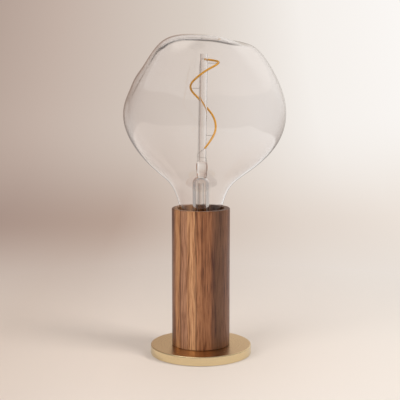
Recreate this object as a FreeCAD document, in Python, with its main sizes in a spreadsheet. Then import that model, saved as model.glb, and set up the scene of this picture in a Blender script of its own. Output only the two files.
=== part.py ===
import FreeCAD, Part
import Sketcher
import math
import os
import re

# Bare bulb table lamp, in millimetres. +Z is up, the front faces -Y, and the origin is the
# middle of the base's underside, on the surface that the lamp stands on.

SIZES = {
    # brass disc and the pad let into its underside
    "base_dia": 120.0, "base_thick": 10.5, "base_top_edge": 0.9, "base_foot_edge": 0.5,
    "pad_dia": 107.0, "pad_pocket_dia": 108.0, "pad_thick": 1.6, "pad_proud": 0.7,
    # walnut column: wide bore from the top, chamber from below, a web between them
    "column_dia": 68.6, "column_height": 164.0, "column_edge": 0.7, "bore_edge": 0.5,
    "bore_dia": 55.0, "bore_depth": 106.2, "web_thick": 9.0, "chamber_dia": 50.0,
    "web_hole_dia": 10.2,
    # column screws, up through the disc
    "screw_circle_dia": 59.4, "screw_head_dia": 7.8, "screw_head_deep": 2.0, "screw_dia": 4.0,
    "screw_reach": 27.0, "screw_point": 3.0, "screw_play": 0.1,
    # cord inlet at the back of the column
    "inlet_height": 22.0, "inlet_face": 33.2, "grommet_flange_dia": 12.4,
    "grommet_flange_thick": 1.5, "grommet_dia": 9.0, "grommet_bore_dia": 6.8,
    "grommet_lip_dia": 10.8, "grommet_lip_outer": 24.2, "grommet_lip_inner": 22.8,
    "inlet_play": 0.2,
    # touch dimmer on the disc, inside the chamber
    "case_dia": 36.0, "case_back": 6.5, "case_height": 22.0, "case_wall": 1.6,
    "case_floor": 2.0, "lid_thick": 1.8, "lid_spigot": 1.5, "lid_play": 0.2,
    "post_dia": 4.0, "post_height": 6.0, "post_circle_dia": 25.0, "board_dia": 31.4,
    "board_thick": 1.6,
    "small_screw_dia": 3.0, "small_head_dia": 5.5, "small_head_thick": 2.0,
    "small_screw_long": 7.0, "tapped_deep": 6.5, "case_screw_gap": 17.0,
    "block_wide": 14.0, "block_deep": 8.0, "block_high": 9.0, "block_back": 4.0,
    "block_pitch": 7.0, "block_bore_dia": 3.0, "block_bore_rise": 3.2,
    "choke_dia": 13.6, "choke_hole_dia": 4.8, "choke_high": 4.4, "choke_across": 7.5,
    "choke_forward": 3.0,
    # touch screw, its ring terminal and the leads
    "touch_across": 9.0, "touch_back": 16.5, "ring_dia": 7.2, "ring_thick": 0.8,
    "ring_barrel_dia": 2.6, "ring_barrel_long": 5.0, "ring_barrel_out": 3.4, "lead_dia": 2.0,
    # hollow nipple that ties the lampholder to the web
    "nipple_dia": 10.0, "nipple_bore_dia": 8.0, "nipple_foot": 51.5, "nipple_top": 73.6,
    "nut_across_corners": 16.2, "nut_thick": 4.2, "nut_hole_dia": 10.1,
    "washer_dia": 18.0, "washer_thick": 1.2, "washer_hole_dia": 10.4,
    # lampholder
    "holder_dia": 40.0, "holder_inner_dia": 35.6, "dome_foot_dia": 28.0, "dome_shoulder": 6.0,
    "dome_floor": 4.0, "dome_well_dia": 31.0, "ledge_height": 84.0, "joint_height": 90.0,
    "core_dia": 35.0, "core_top": 94.0, "sleeve_top": 122.0, "throat_dia": 26.7,
    "throat_wall": 2.2, "sleeve_roof": 3.0, "throat_chamfer": 1.2, "core_bore_dia": 4.0,
    "terminal_across": 9.0,
    # contact springs
    "spring_thick": 0.4, "spring_wide": 5.0, "spring_foot": 8.0, "tip_rest_gap": 0.3,
    "side_rest_gap": 0.85,
    # screw cap of the bulb
    "tip_foot": 97.0, "tip_flat_dia": 6.4, "tip_dia": 9.6, "tip_round": 1.0, "tip_top": 98.8,
    "tip_gap": 0.1, "insulator_foot_dia": 12.0, "insulator_dia": 22.0, "insulator_edge": 102.4,
    "insulator_top": 103.4, "insulator_bore_dia": 2.0,
    "cap_dia": 26.1, "cap_wall": 0.4, "cap_top": 124.0, "cap_foot": 102.9, "cap_round": 105.0,
    "cap_lip_dia": 22.1, "driver_height": 107.0, "driver_dia": 23.6, "driver_thick": 1.2,
    "cement_inner_dia": 24.6, "cement_outer_dia": 25.2, "cement_top": 123.4,
    "smoother_dia": 6.4, "smoother_high": 7.5, "smoother_back": 5.2,
    # stations up the blown glass: poles of its outline, as reach from the axis and height
    "seal_reach": 12.0, "seal_height": 118.0, "neck_reach": 12.0, "neck_height": 134.0,
    "cone_reach": 21.5, "cone_height": 160.0, "rim_reach": 27.2, "rim_height": 187.0,
    "throat_reach": 30.5, "throat_height": 205.0, "flank_reach": 57.0, "flank_height": 222.0,
    "belly_reach": 99.5, "belly_height": 257.5, "girth_reach": 101.0, "girth_height": 306.0,
    "shoulder_reach": 79.0, "shoulder_height": 347.0, "brow_reach": 62.0, "brow_height": 379.0,
    "crown_reach": 27.0, "crown_height": 392.0, "glass_wall": 1.2,
    # glass mount inside the bulb
    "flare_rim_dia": 21.4, "flare_dia": 19.5, "flare_wall": 1.0, "flare_foot": 118.3,
    "flare_waist": 122.5, "flare_top": 212.0, "flare_round": 7.0, "exhaust_dia": 6.5,
    "exhaust_wall": 0.9, "exhaust_foot": 119.5, "exhaust_top": 205.0, "pinch_wide": 13.2,
    "pinch_deep": 6.4, "pinch_top": 230.0, "pinch_edge": 2.4, "pinch_shift": 1.2,
    "rod_dia": 9.0, "rod_wall": 0.8, "rod_foot": 230.2, "rod_long": 124.4,
    "rod_foot_shift": 1.7, "rod_lean": 0.92,
    # light source and its wires
    "filament_dia": 2.0, "end_cap_dia": 2.0, "end_cap_long": 4.5, "wire_dia": 0.8,
    "support_wire_dia": 0.5, "wire_spread": 5.5, "wire_play": 0.1,
}

# Dents and swellings of the blown glass: (azimuth in degrees, reach, height, width, depth).
# Each is a soft round push on the wall, centred at that place. A negative depth swells it.
GLASS_DENTS = [
    (180, 80, 335, 48, 4.0),     # long flat at the upper left
    (0, 30, 374, 45, 27.0),      # the crown slopes down to the right
    (180, 45, 368, 35, 22.0),    # and is drawn in a little on the left
    (180, 95, 285, 48, 10.5),    # left side, less full than the right
    (12, 80, 352, 38, -13.0),    # swelling at the upper right
    (-100, 85, 262, 40, 5.0),    # lower front
    (75, 85, 318, 45, 6.0),      # upper back
    (-45, 88, 305, 36, 4.0),     # front right
    (-150, 90, 282, 30, 4.0),    # front left
    (120, 80, 255, 40, 4.0),     # lower back
    (-95, 50, 368, 30, 3.0),     # front of the crown
]
GLASS_STATIONS = ["seal", "neck", "cone", "rim", "throat", "flank", "belly", "girth",
                  "shoulder", "brow", "crown"]
GLASS_COLUMNS = 24      # poles round the glass
GLASS_BANDS = 48        # each skin is made of narrow bands from the seal to the crown
ROUND_STATIONS = 4      # stations from the seal up that no dent reaches

# The filament winds down round the rod: (azimuth in degrees, reach from the rod, height).
FILAMENT_ROUTE = [
    (100, 6.2, 348.8), (50, 13.0, 347.8), (10, 18.5, 345.8), (-32, 17.5, 342.3),
    (-75, 13.5, 336.5), (-120, 13.5, 329.0), (-165, 16.0, 320.5), (-205, 16.5, 312.5),
    (-246, 13.0, 303.0), (-290, 12.5, 292.5), (-330, 15.5, 281.0), (-367, 16.0, 267.5),
    (-405, 13.5, 255.0), (-440, 8.0, 247.0), (-462, 6.2, 244.0),
]
SUPPORT_WIRE_HEIGHTS = [344.1, 315.2, 260.7]    # thin wires that hold it off the rod

# Routes of the wires: (across, back, height). The bulb's two rise from its driver, pass the
# pinch and end in the filament's end caps.
BULB_WIRE_ROUTES = [
    [(-4.3, 0.0, 108.2), (-4.3, 0.0, 232.0), (-3.2, 0.0, 238.0), (-1.54, 0.0, 340.0),
     (-2.4, 0.6, 345.5), (-4.6, 2.4, 348.9), (-1.95, 4.21, 349.21)],
    [(6.7, 0.0, 108.2), (6.7, 0.0, 232.0), (6.7, -3.6, 234.2), (2.6, -6.4, 235.2),
     (-3.0, -6.4, 235.8), (-5.2, -4.2, 236.8), (-4.0, -3.0, 238.9), (-2.4, -4.0, 240.65)],
]
# The neutral lead, from the dimmer's lid through the nipple to its terminal. The live lead
# is its mirror image.
MAINS_LEAD_ROUTE = [
    (4.0, -6.5, 35.0), (4.0, -6.5, 41.0), (2.2, -1.6, 49.5), (1.7, 0.0, 57.5),
    (1.7, 0.2, 69.0), (1.7, 0.2, 75.4), (9.0, 0.0, 76.2), (9.0, 0.0, 82.0),
]
# The touch lead, from the ring terminal up and over to the dimmer's lid.
TOUCH_LEAD_ROUTE = [
    (-0.6, 16.5, 12.5), (5.4, 16.5, 12.5), (10.4, 15.5, 18.5), (11.4, 14.0, 27.0),
    (10.4, 11.0, 38.5), (9.6, 4.0, 42.0), (9.4, -1.0, 40.5), (9.4, -1.0, 35.0),
]
FILAMENT_SIDES = 12     # flats round the filament, whose silicone is drawn, not turned
FILAMENT_SAMPLES = 600  # places along it where a support wire may meet it
LEAD_SIDES = 8          # flats round each lead
WIRE_SIDES = 6          # flats round each bare wire

# What stands on the two boards: (name, (wide, deep, high), (across, back)).
DIMMER_BLOCKS = [
    ("film_capacitor", (13.0, 5.5, 8.0), (0.5, -16.0)), ("triac", (9.5, 4.4, 7.5), (7.6, -5.0)),
    ("control_chip", (5.0, 4.0, 1.6), (1.5, -10.0)), ("fuse", (4.0, 8.0, 3.6), (1.6, 2.3)),
]
DRIVER_BLOCKS = [
    ("driver_chip", (5.0, 4.0, 1.7), (0.0, -4.5)), ("bridge", (4.0, 2.6, 2.2), (-5.5, 2.0)),
    ("fuse_resistor", (2.6, 6.0, 2.6), (5.6, -5.0)),
]

doc = FreeCAD.newDocument("bare_bulb_table_lamp")
sheet = doc.addObject("Spreadsheet::Sheet", "sizes")
for row, (alias, size) in enumerate(SIZES.items(), start=1):
    sheet.set(f"A{row}", alias)
    sheet.set(f"B{row}", str(size))
    sheet.setAlias(f"B{row}", alias)
doc.recompute()

NODES = {}


def formula(text):
    """Turn each word of a text into the sheet's cell of that name."""
    return re.sub(r"[a-z][a-z_]*", lambda word: "sizes." + word.group(), text)


def number(text):
    """The value of a formula, in millimetres or degrees."""
    return float(sheet.evalExpression(formula(text)))


def node(label, thing):
    """Give a finished piece the name that its file has."""
    thing.Label = label
    NODES[label] = thing
    return thing


FOOT = "(pad_proud + base_thick)"
TOP = f"({FOOT} + column_height)"
WEB_TOP = f"({TOP} - bore_depth)"
WEB_FOOT = f"({WEB_TOP} - web_thick)"
CASE_TOP = f"({FOOT} + case_height)"
LID_TOP = f"({CASE_TOP} + lid_thick)"
FIRST_COLUMN_SCREW = -90      # at the front, so that none meets the cord inlet
ROUND_STEPS = 4               # flats along a turned round


# ---------------------------------------------------------------- ways of making a piece

def section(body, corners):
    """A closed outline in the body's XZ plane. Each corner is a (radius, height) pair."""
    sketch = body.newObject("Sketcher::SketchObject", body.Name + "_section")
    plane = next(f for f in body.Origin.OriginFeatures if f.Role == "XZ_Plane")
    sketch.AttachmentSupport = [(plane, "")]
    sketch.MapMode = "FlatFace"
    points = [FreeCAD.Vector(number(across), number(up), 0) for across, up in corners]
    for start, end in zip(points, points[1:] + points[:1]):
        sketch.addGeometry(Part.LineSegment(start, end))
    for index, corner in enumerate(corners):
        before = (index - 1) % len(corners)
        sketch.addConstraint(Sketcher.Constraint("Coincident", before, 2, index, 1))
        for kind, axis, text in zip(("DistanceX", "DistanceY"), (-2, -1), corner):
            size = number(text)
            if abs(size) < 1e-9:
                sketch.addConstraint(Sketcher.Constraint("PointOnObject", index, 1, axis))
            else:
                place = Sketcher.Constraint(kind, -1, 1, index, 1, size)
                sketch.setExpression(f"Constraints[{sketch.addConstraint(place)}]",
                                     formula(text))
    return sketch


def turned(name, corners):
    """A piece turned about the Z axis."""
    body = doc.addObject("PartDesign::Body", name)
    sketch = section(body, corners)
    turn = body.newObject("PartDesign::Revolution", name + "_turn")
    turn.Profile = sketch
    turn.ReferenceAxis = (sketch, ["V_Axis"])
    turn.Angle = 360
    doc.recompute()
    return body


def bent_strip(name, corners, width):
    """A strip of sheet metal, bent as its outline in the XZ plane shows."""
    body = doc.addObject("PartDesign::Body", name)
    pad = body.newObject("PartDesign::Pad", name + "_pad")
    pad.Profile = section(body, corners)
    pad.setExpression("Length", formula(width))
    pad.Midplane = True
    doc.recompute()
    return body


def bevel_edge(body, radius, height, size):
    """Bevel the circular edge of that radius at that height."""
    reach, level = number(radius), number(height)
    base = body.Tip
    names = []
    for index, edge in enumerate(base.Shape.Edges, start=1):
        curve = edge.Curve
        if isinstance(curve, Part.Circle) and abs(curve.Radius - reach) < 1e-3:
            if abs(curve.Center.z - level) < 1e-3:
                names.append(f"Edge{index}")
    bevel = body.newObject("PartDesign::Chamfer", body.Name + "_bevel")
    bevel.Base = (base, names)
    bevel.setExpression("Size", formula(size))
    body.Tip = bevel
    doc.recompute()
    return body


def rounded(reach, height, radius):
    """Corners round the top outer edge of a turned piece, from its side to its top."""
    for step in range(ROUND_STEPS + 1):
        turn = math.radians(90.0 * step / ROUND_STEPS)
        yield (f"{reach} - {1 - math.cos(turn):.6f} * ({radius})",
               f"{height} - {1 - math.sin(turn):.6f} * ({radius})")


def bind_place(thing, place):
    """Bind a piece's place to the sheet."""
    for axis, text in zip("xyz", place):
        thing.setExpression(f"Placement.Base.{axis}", formula(text))
    return thing


def cylinder(name, diameter, height, place, axis="z"):
    """A plain cylinder that starts at a place and runs along +Z, +Y or +X."""
    thing = doc.addObject("Part::Cylinder", name)
    thing.setExpression("Radius", formula(f"({diameter}) / 2"))
    thing.setExpression("Height", formula(height))
    turns = {"z": (0, 0, 0), "y": (0, 0, -90), "x": (0, 90, 0)}
    thing.Placement.Rotation = FreeCAD.Rotation(*turns[axis])
    return bind_place(thing, place)


def box(name, wide, deep, high, place):
    """A block, given by its middle across and back, and by its foot."""
    thing = doc.addObject("Part::Box", name)
    for side, text in zip(("Length", "Width", "Height"), (wide, deep, high)):
        thing.setExpression(side, formula(text))
    across, back, foot = place
    return bind_place(thing, (f"{across} - ({wide}) / 2", f"{back} - ({deep}) / 2", foot))


def cut(name, base, *tools):
    """A base with tools taken out of it."""
    for index, tool in enumerate(tools):
        step = doc.addObject("Part::Cut", f"{name}_cut_{index}")
        step.Base, step.Tool = base, tool
        base = step
    return base


def fuse(name, *things):
    """Things joined into one solid."""
    joined = doc.addObject("Part::MultiFuse", name + "_fuse")
    joined.Shapes = list(things)
    joined.Refine = True
    return joined


def group(label, things):
    """Identical loose pieces under one name."""
    holder = doc.addObject("Part::Compound", label)
    holder.Links = list(things)
    return node(label, holder)


def round_the_axis(count, radius, start):
    """Places spaced evenly round the Z axis, as pairs of formulas."""
    for index in range(count):
        angle = math.radians(start + 360.0 * index / count)
        yield f"{math.cos(angle):.6f} * ({radius})", f"{math.sin(angle):.6f} * ({radius})"


def route(points):
    """Straight runs joined by arcs as large as each pair of runs allows."""
    points = [FreeCAD.Vector(*point) for point in points]
    edges = []
    radii = []
    here = points[0]
    for before, corner, after in zip(points, points[1:], points[2:]):
        arrive = (corner - before).normalize()
        leave = (after - corner).normalize()
        half_turn = arrive.getAngle(leave) / 2
        back = 0.45 * min((corner - before).Length, (after - corner).Length)
        radius = back / math.tan(half_turn)
        radii.append(round(radius, 1))
        start, end = corner - arrive * back, corner + leave * back
        inward = (leave - arrive).normalize()
        middle = corner + inward * (radius / math.cos(half_turn) - radius)
        edges.append(Part.LineSegment(here, start).toShape())
        edges.append(Part.Arc(start, middle, end).toShape())
        here = end
    edges.append(Part.LineSegment(here, points[-1]).toShape())
    return Part.Wire(edges), radii


def routed(name, points, diameter, sides):
    """A wire along its route, with flats that touch the round of its diameter."""
    path, radii = route(points)
    start, along = FreeCAD.Vector(*points[0]), FreeCAD.Vector(*points[1])
    turn = FreeCAD.Rotation(FreeCAD.Vector(0, 0, 1), along - start)
    corners = []
    for side in range(sides + 1):
        angle = 2 * math.pi * side / sides
        spoke = FreeCAD.Vector(math.cos(angle), math.sin(angle), 0) * (diameter / 2)
        corners.append(start + turn.multVec(spoke))
    tube = path.makePipeShell([Part.makePolygon(corners)], True, False)
    section_area = sides / 2 * math.sin(2 * math.pi / sides) * (diameter / 2) ** 2
    error = tube.Volume / (path.Length * section_area) - 1
    print(f"{name}: {path.Length:.1f} mm long, volume off by {error:.4f}, radii {radii}")
    return tube


def shape_node(label, shape):
    """A piece whose shape is worked out here."""
    thing = doc.addObject("Part::Feature", label)
    thing.Shape = shape
    return node(label, thing)


# ------------------------------------------------------------------------------- base

def make_base():
    disc = turned("disc_blank", [
        ("0", "pad_thick"), ("pad_pocket_dia / 2", "pad_thick"),
        ("pad_pocket_dia / 2", "pad_proud"), ("base_dia / 2", "pad_proud"),
        ("base_dia / 2", FOOT), ("0", FOOT)])
    bevel_edge(disc, "base_dia / 2", FOOT, "base_top_edge")
    bevel_edge(disc, "base_dia / 2", "pad_proud", "base_foot_edge")
    tools = []
    for place in round_the_axis(3, "screw_circle_dia / 2", FIRST_COLUMN_SCREW):
        hole = turned("screw_seat", [
            ("0", "pad_thick"), ("(screw_head_dia + screw_play) / 2", "pad_thick"),
            ("(screw_dia + screw_play) / 2", "pad_thick + screw_head_deep"),
            ("(screw_dia + screw_play) / 2", FOOT), ("0", FOOT)])
        tools.append(bind_place(hole, (*place, "0")))
    for across, back in SMALL_SCREW_PLACES:
        tools.append(cylinder("tapped_hole", "small_screw_dia + screw_play", "tapped_deep",
                              (across, back, f"{FOOT} - tapped_deep")))
    node("base_disc", cut("base_disc", disc, *tools))
    node("base_pad", turned("base_pad", [
        ("0", "0"), ("pad_dia / 2", "0"), ("pad_dia / 2", "pad_thick"), ("0", "pad_thick")]))


def make_column():
    column = turned("column_blank", [
        ("chamber_dia / 2", FOOT), ("column_dia / 2", FOOT), ("column_dia / 2", TOP),
        ("bore_dia / 2", TOP), ("bore_dia / 2", WEB_TOP), ("web_hole_dia / 2", WEB_TOP),
        ("web_hole_dia / 2", WEB_FOOT), ("chamber_dia / 2", WEB_FOOT)])
    bevel_edge(column, "column_dia / 2", TOP, "column_edge")
    bevel_edge(column, "column_dia / 2", FOOT, "column_edge")
    bevel_edge(column, "bore_dia / 2", TOP, "bore_edge")
    tools = [
        cylinder("inlet_hole", "grommet_dia + inlet_play", "column_dia / 2",
                 ("0", "chamber_dia / 4", "inlet_height"), "y"),
        cylinder("inlet_spotface", "grommet_flange_dia + inlet_play", "column_dia / 2",
                 ("0", "inlet_face", "inlet_height"), "y")]
    for place in round_the_axis(3, "screw_circle_dia / 2", FIRST_COLUMN_SCREW):
        tools.append(cylinder("pilot_hole", "screw_dia + screw_play", "screw_reach",
                              (*place, "pad_thick")))
    node("wood_column", cut("wood_column", column, *tools))


def make_column_screws():
    screws = []
    for place in round_the_axis(3, "screw_circle_dia / 2", FIRST_COLUMN_SCREW):
        screw = turned("column_screw", [
            ("0", "pad_thick"), ("screw_head_dia / 2", "pad_thick"),
            ("screw_dia / 2", "pad_thick + screw_head_deep"),
            ("screw_dia / 2", "pad_thick + screw_reach - screw_point"),
            ("0", "pad_thick + screw_reach")])
        screws.append(bind_place(screw, (*place, "0")))
    group("column_screws", screws)


def make_grommet():
    grommet = turned("cord_grommet", [
        ("grommet_bore_dia / 2", "grommet_lip_inner"),
        ("grommet_lip_dia / 2", "grommet_lip_inner"),
        ("grommet_lip_dia / 2", "grommet_lip_outer"), ("grommet_dia / 2", "grommet_lip_outer"),
        ("grommet_dia / 2", "inlet_face"), ("grommet_flange_dia / 2", "inlet_face"),
        ("grommet_flange_dia / 2", "inlet_face + grommet_flange_thick"),
        ("grommet_bore_dia / 2", "inlet_face + grommet_flange_thick")])
    bevel_edge(grommet, "grommet_flange_dia / 2", "inlet_face + grommet_flange_thick",
               "base_foot_edge")
    grommet.Placement.Rotation = FreeCAD.Rotation(0, 0, -90)
    grommet.setExpression("Placement.Base.z", formula("inlet_height"))
    node("cord_grommet", grommet)


# ---------------------------------------------------------------------- touch dimmer

CASE_SCREWS = [("-case_screw_gap / 2", "-case_back"), ("case_screw_gap / 2", "-case_back")]
TOUCH_SCREW = ("-touch_across", "touch_back")
SMALL_SCREW_PLACES = CASE_SCREWS + [TOUCH_SCREW]


def small_screw(name, place, head_foot, points_up=False):
    """A pan head screw whose head rests on a level."""
    head = "small_head_dia / 2"
    shank = "small_screw_dia / 2"
    screw = turned(name, [
        ("0", "-small_screw_long"), (shank, "-small_screw_long"), (shank, "0"), (head, "0"),
        (head, "small_head_thick"), ("0", "small_head_thick")])
    if points_up:
        screw.Placement.Rotation = FreeCAD.Rotation(0, 0, 180)
    return bind_place(screw, (*place, head_foot))


def make_dimmer():
    back = "-case_back"
    case_floor = f"{FOOT} + case_floor"
    case = bind_place(turned("case_blank", [
        ("0", FOOT), ("case_dia / 2", FOOT), ("case_dia / 2", CASE_TOP),
        ("case_dia / 2 - case_wall", CASE_TOP), ("case_dia / 2 - case_wall", case_floor),
        ("0", case_floor)]), ("0", back, "0"))
    posts = []
    for across, out in round_the_axis(3, "post_circle_dia / 2", 90):
        posts.append(cylinder("post", "post_dia", "post_height",
                              (across, f"{out} - case_back", case_floor)))
    holes = [cylinder("case_hole", "small_screw_dia + screw_play", "case_floor",
                      (*place, FOOT)) for place in CASE_SCREWS]
    node("dimmer_case", cut("dimmer_case", fuse("dimmer_case", case, *posts), *holes))
    spigot = "case_dia / 2 - case_wall - lid_play"
    node("dimmer_lid", bind_place(turned("dimmer_lid", [
        ("0", f"{CASE_TOP} - lid_spigot"), (spigot, f"{CASE_TOP} - lid_spigot"),
        (spigot, CASE_TOP), ("case_dia / 2", CASE_TOP), ("case_dia / 2", LID_TOP),
        ("0", LID_TOP)]), ("0", back, "0")))
    board_foot = f"{case_floor} + post_height"
    board_top = f"{board_foot} + board_thick"
    node("dimmer_board", cylinder("dimmer_board", "board_dia", "board_thick",
                                  ("0", back, board_foot)))
    make_dimmer_parts(board_top)
    group("case_screws", [small_screw("case_screw", place, case_floor)
                          for place in CASE_SCREWS])


def standing_blocks(blocks, level):
    """Plain blocks that stand on a board at that level."""
    for name, (wide, deep, high), (across, back) in blocks:
        block = doc.addObject("Part::Box", name)
        block.Length, block.Width, block.Height = wide, deep, high
        block.Placement.Base = FreeCAD.Vector(across - wide / 2, back - deep / 2, level)
        yield block


def make_dimmer_parts(board_top):
    place = ("-choke_across", "-choke_forward", board_top)
    choke = cut("choke", cylinder("choke_ring", "choke_dia", "choke_high", place),
                cylinder("choke_hole", "choke_hole_dia", "choke_high", place))
    group("dimmer_parts", [choke, *standing_blocks(DIMMER_BLOCKS, number(board_top))])


def make_supply_terminals():
    block = box("block_body", "block_wide", "block_deep", "block_high",
                ("0", "block_back", LID_TOP))
    tools = []
    for side in ("-", ""):
        across = f"{side}block_pitch / 2"
        tools.append(cylinder("wire_entry", "block_bore_dia", "block_deep / 2",
                              (across, "block_back", f"{LID_TOP} + block_bore_rise"), "y"))
        tools.append(cylinder("clamp_hole", "small_screw_dia + screw_play",
                              "small_screw_long",
                              (across, "block_back",
                               f"{LID_TOP} + block_high - small_screw_long")))
    node("supply_terminal_block", cut("terminal_block", block, *tools))


def make_touch_terminal():
    across, back = TOUCH_SCREW
    ring = cylinder("ring_plate", "ring_dia", "ring_thick", (across, back, FOOT))
    barrel_height = f"{FOOT} + ring_barrel_dia / 2"
    barrel = cylinder("ring_barrel", "ring_barrel_dia", "ring_barrel_long",
                      (f"{across} + ring_barrel_out", back, barrel_height), "x")
    hole = cylinder("ring_hole", "small_screw_dia + screw_play", "ring_thick",
                    (across, back, FOOT))
    node("ring_terminal", cut("ring_terminal", fuse("ring_terminal", ring, barrel), hole))
    node("touch_screw", small_screw("touch_screw", TOUCH_SCREW, f"{FOOT} + ring_thick"))


def make_leads():
    lead = number("lead_dia")
    for label, side in (("live_lead", -1), ("neutral_lead", 1)):
        points = [(side * across, back, height) for across, back, height in MAINS_LEAD_ROUTE]
        shape_node(label, routed(label, points, lead, LEAD_SIDES))
    shape_node("touch_lead", routed("touch_lead", TOUCH_LEAD_ROUTE, lead, LEAD_SIDES))


# ----------------------------------------------------------------------- lampholder

def tube(label, outer, inner, foot, top):
    """A plain tube on the axis."""
    return node(label, turned(label, [
        (f"{inner} / 2", foot), (f"{outer} / 2", foot), (f"{outer} / 2", top),
        (f"{inner} / 2", top)]))


def make_nipple():
    tube("threaded_nipple", "nipple_dia", "nipple_bore_dia", "nipple_foot", "nipple_top")
    washer_foot = f"({WEB_FOOT} - washer_thick)"
    tube("nipple_washer", "washer_dia", "washer_hole_dia", washer_foot, WEB_FOOT)
    hexagon = doc.addObject("Part::Prism", "nut_blank")
    hexagon.Polygon = 6
    hexagon.setExpression("Circumradius", formula("nut_across_corners / 2"))
    hexagon.setExpression("Height", formula("nut_thick"))
    bind_place(hexagon, ("0", "0", f"{washer_foot} - nut_thick"))
    hole = cylinder("nut_hole", "nut_hole_dia", "nut_thick",
                    ("0", "0", f"{washer_foot} - nut_thick"))
    node("nipple_nut", cut("nipple_nut", hexagon, hole))


def make_lampholder():
    hole = "nut_hole_dia / 2"
    node("lampholder_dome", turned("lampholder_dome", [
        (hole, WEB_TOP), ("dome_foot_dia / 2", WEB_TOP),
        ("holder_dia / 2", f"{WEB_TOP} + dome_shoulder"), ("holder_dia / 2", "joint_height"),
        ("holder_inner_dia / 2", "joint_height"), ("holder_inner_dia / 2", "ledge_height"),
        ("dome_well_dia / 2", "ledge_height"),
        ("dome_well_dia / 2", f"{WEB_TOP} + dome_floor + dome_floor"),
        ("dome_foot_dia / 2 - dome_floor / 2", f"{WEB_TOP} + dome_floor"),
        (hole, f"{WEB_TOP} + dome_floor")]))
    core = turned("core_blank", [
        ("core_bore_dia / 2", "ledge_height"), ("core_dia / 2", "ledge_height"),
        ("core_dia / 2", "core_top"), ("core_bore_dia / 2", "core_top")])
    holes = [cylinder("terminal_hole", "small_screw_dia + screw_play", "small_screw_long",
                      (f"{side}terminal_across", "0", "ledge_height")) for side in ("-", "")]
    node("lampholder_core", cut("lampholder_core", core, *holes))
    throat, outer = "throat_dia / 2", "throat_dia / 2 + throat_wall"
    roof = "sleeve_top - sleeve_roof"
    sleeve = turned("lampholder_sleeve", [
        (throat, "core_top"), (outer, "core_top"), (outer, roof),
        ("holder_inner_dia / 2", roof), ("holder_inner_dia / 2", "joint_height"),
        ("holder_dia / 2", "joint_height"), ("holder_dia / 2", "sleeve_top"),
        ("throat_dia / 2 + throat_chamfer", "sleeve_top"),
        (throat, "sleeve_top - throat_chamfer")])
    bevel_edge(sleeve, "holder_dia / 2", "sleeve_top", "throat_chamfer")
    node("lampholder_sleeve", sleeve)


def make_contacts():
    """Two bent springs that stand on the core: one under the cap's tip, one at its side."""
    low, raised = "core_top", "core_top + spring_thick"
    crest = "(tip_foot - tip_rest_gap)"
    under = f"({crest} - spring_thick)"
    node("centre_contact", bent_strip("centre_contact", [
        ("-spring_foot", low), ("-3.2", low), ("-1.2", under), ("2.4", under), ("2.4", crest),
        ("-1.4", crest), ("-3.4", raised), ("-spring_foot", raised)], "spring_wide"))
    outside = "(throat_dia / 2 - side_rest_gap)"
    inside = f"({outside} - spring_thick)"
    crest = "(cap_foot - 2)"
    node("side_contact", bent_strip("side_contact", [
        ("spring_foot", low), (outside, low), (outside, crest),
        (f"{outside} - 0.7", f"{crest} + 0.8"), (f"{inside} - 0.6", f"{crest} + 0.5"),
        (inside, f"{crest} - 0.2"), (inside, raised), ("spring_foot", raised)],
        "spring_wide"))


def make_terminal_screws():
    """Lampholder terminals point up into the core. Block terminals point down."""
    block_top = f"{LID_TOP} + block_high"
    screws = []
    for side in ("-", ""):
        screws.append(small_screw("holder_terminal", (f"{side}terminal_across", "0"),
                                  "ledge_height", points_up=True))
        screws.append(small_screw("block_terminal", (f"{side}block_pitch / 2", "block_back"),
                                  block_top))
    group("terminal_screws", screws)


# -------------------------------------------------------------------- cap of the bulb

def make_cap():
    node("cap_tip_contact", turned("cap_tip_contact", [
        ("0", "tip_foot"), ("tip_flat_dia / 2", "tip_foot"),
        ("tip_dia / 2", "tip_foot + tip_round"), ("tip_dia / 2", "tip_top"), ("0", "tip_top")]))
    node("cap_insulator", turned("cap_insulator", [
        ("insulator_bore_dia / 2", "tip_top + tip_gap"),
        ("insulator_foot_dia / 2", "tip_top + tip_gap"),
        ("insulator_dia / 2", "insulator_edge"), ("insulator_dia / 2", "insulator_top"),
        ("insulator_bore_dia / 2", "insulator_top")]))
    inner = "cap_dia / 2 - cap_wall"
    node("cap_shell", turned("cap_shell", [
        ("cap_lip_dia / 2", "cap_foot"), ("cap_dia / 2 - cap_wall", "cap_foot + cap_wall"),
        ("cap_dia / 2", "cap_round"), ("cap_dia / 2", "cap_top"), (inner, "cap_top"),
        (inner, "cap_round + cap_wall"), (f"{inner} - cap_wall", "cap_foot + 2 * cap_wall"),
        ("cap_lip_dia / 2", "insulator_top")]))
    tube("basing_cement", "cement_outer_dia", "cement_inner_dia", "seal_height", "cement_top")
    board_top = "driver_height + driver_thick"
    node("driver_board", cylinder("driver_board", "driver_dia", "driver_thick",
                                  ("0", "0", "driver_height")))
    smoother = cylinder("smoothing_capacitor", "smoother_dia", "smoother_high",
                        ("0", "smoother_back", board_top))
    group("driver_parts", [smoother, *standing_blocks(DRIVER_BLOCKS, number(board_top))])


# ----------------------------------------------------------------------- blown glass

def glass_outline():
    """Poles of the outline from the seal to the middle of the crown, with normals."""
    poles = [(number(f"{name}_reach"), number(f"{name}_height")) for name in GLASS_STATIONS]
    poles.append((0.0, number("crown_height")))
    normals = []
    last = len(poles) - 1
    for index in range(len(poles)):
        below, above = poles[max(index - 1, 0)], poles[min(index + 1, last)]
        inward, up = below[0] - above[0], above[1] - below[1]
        run = math.hypot(inward, up)
        normals.append((up / run, inward / run))
    normals[0] = normals[1] = (1.0, 0.0)
    normals[last] = normals[last - 1] = (0.0, 1.0)
    return poles, normals


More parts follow.
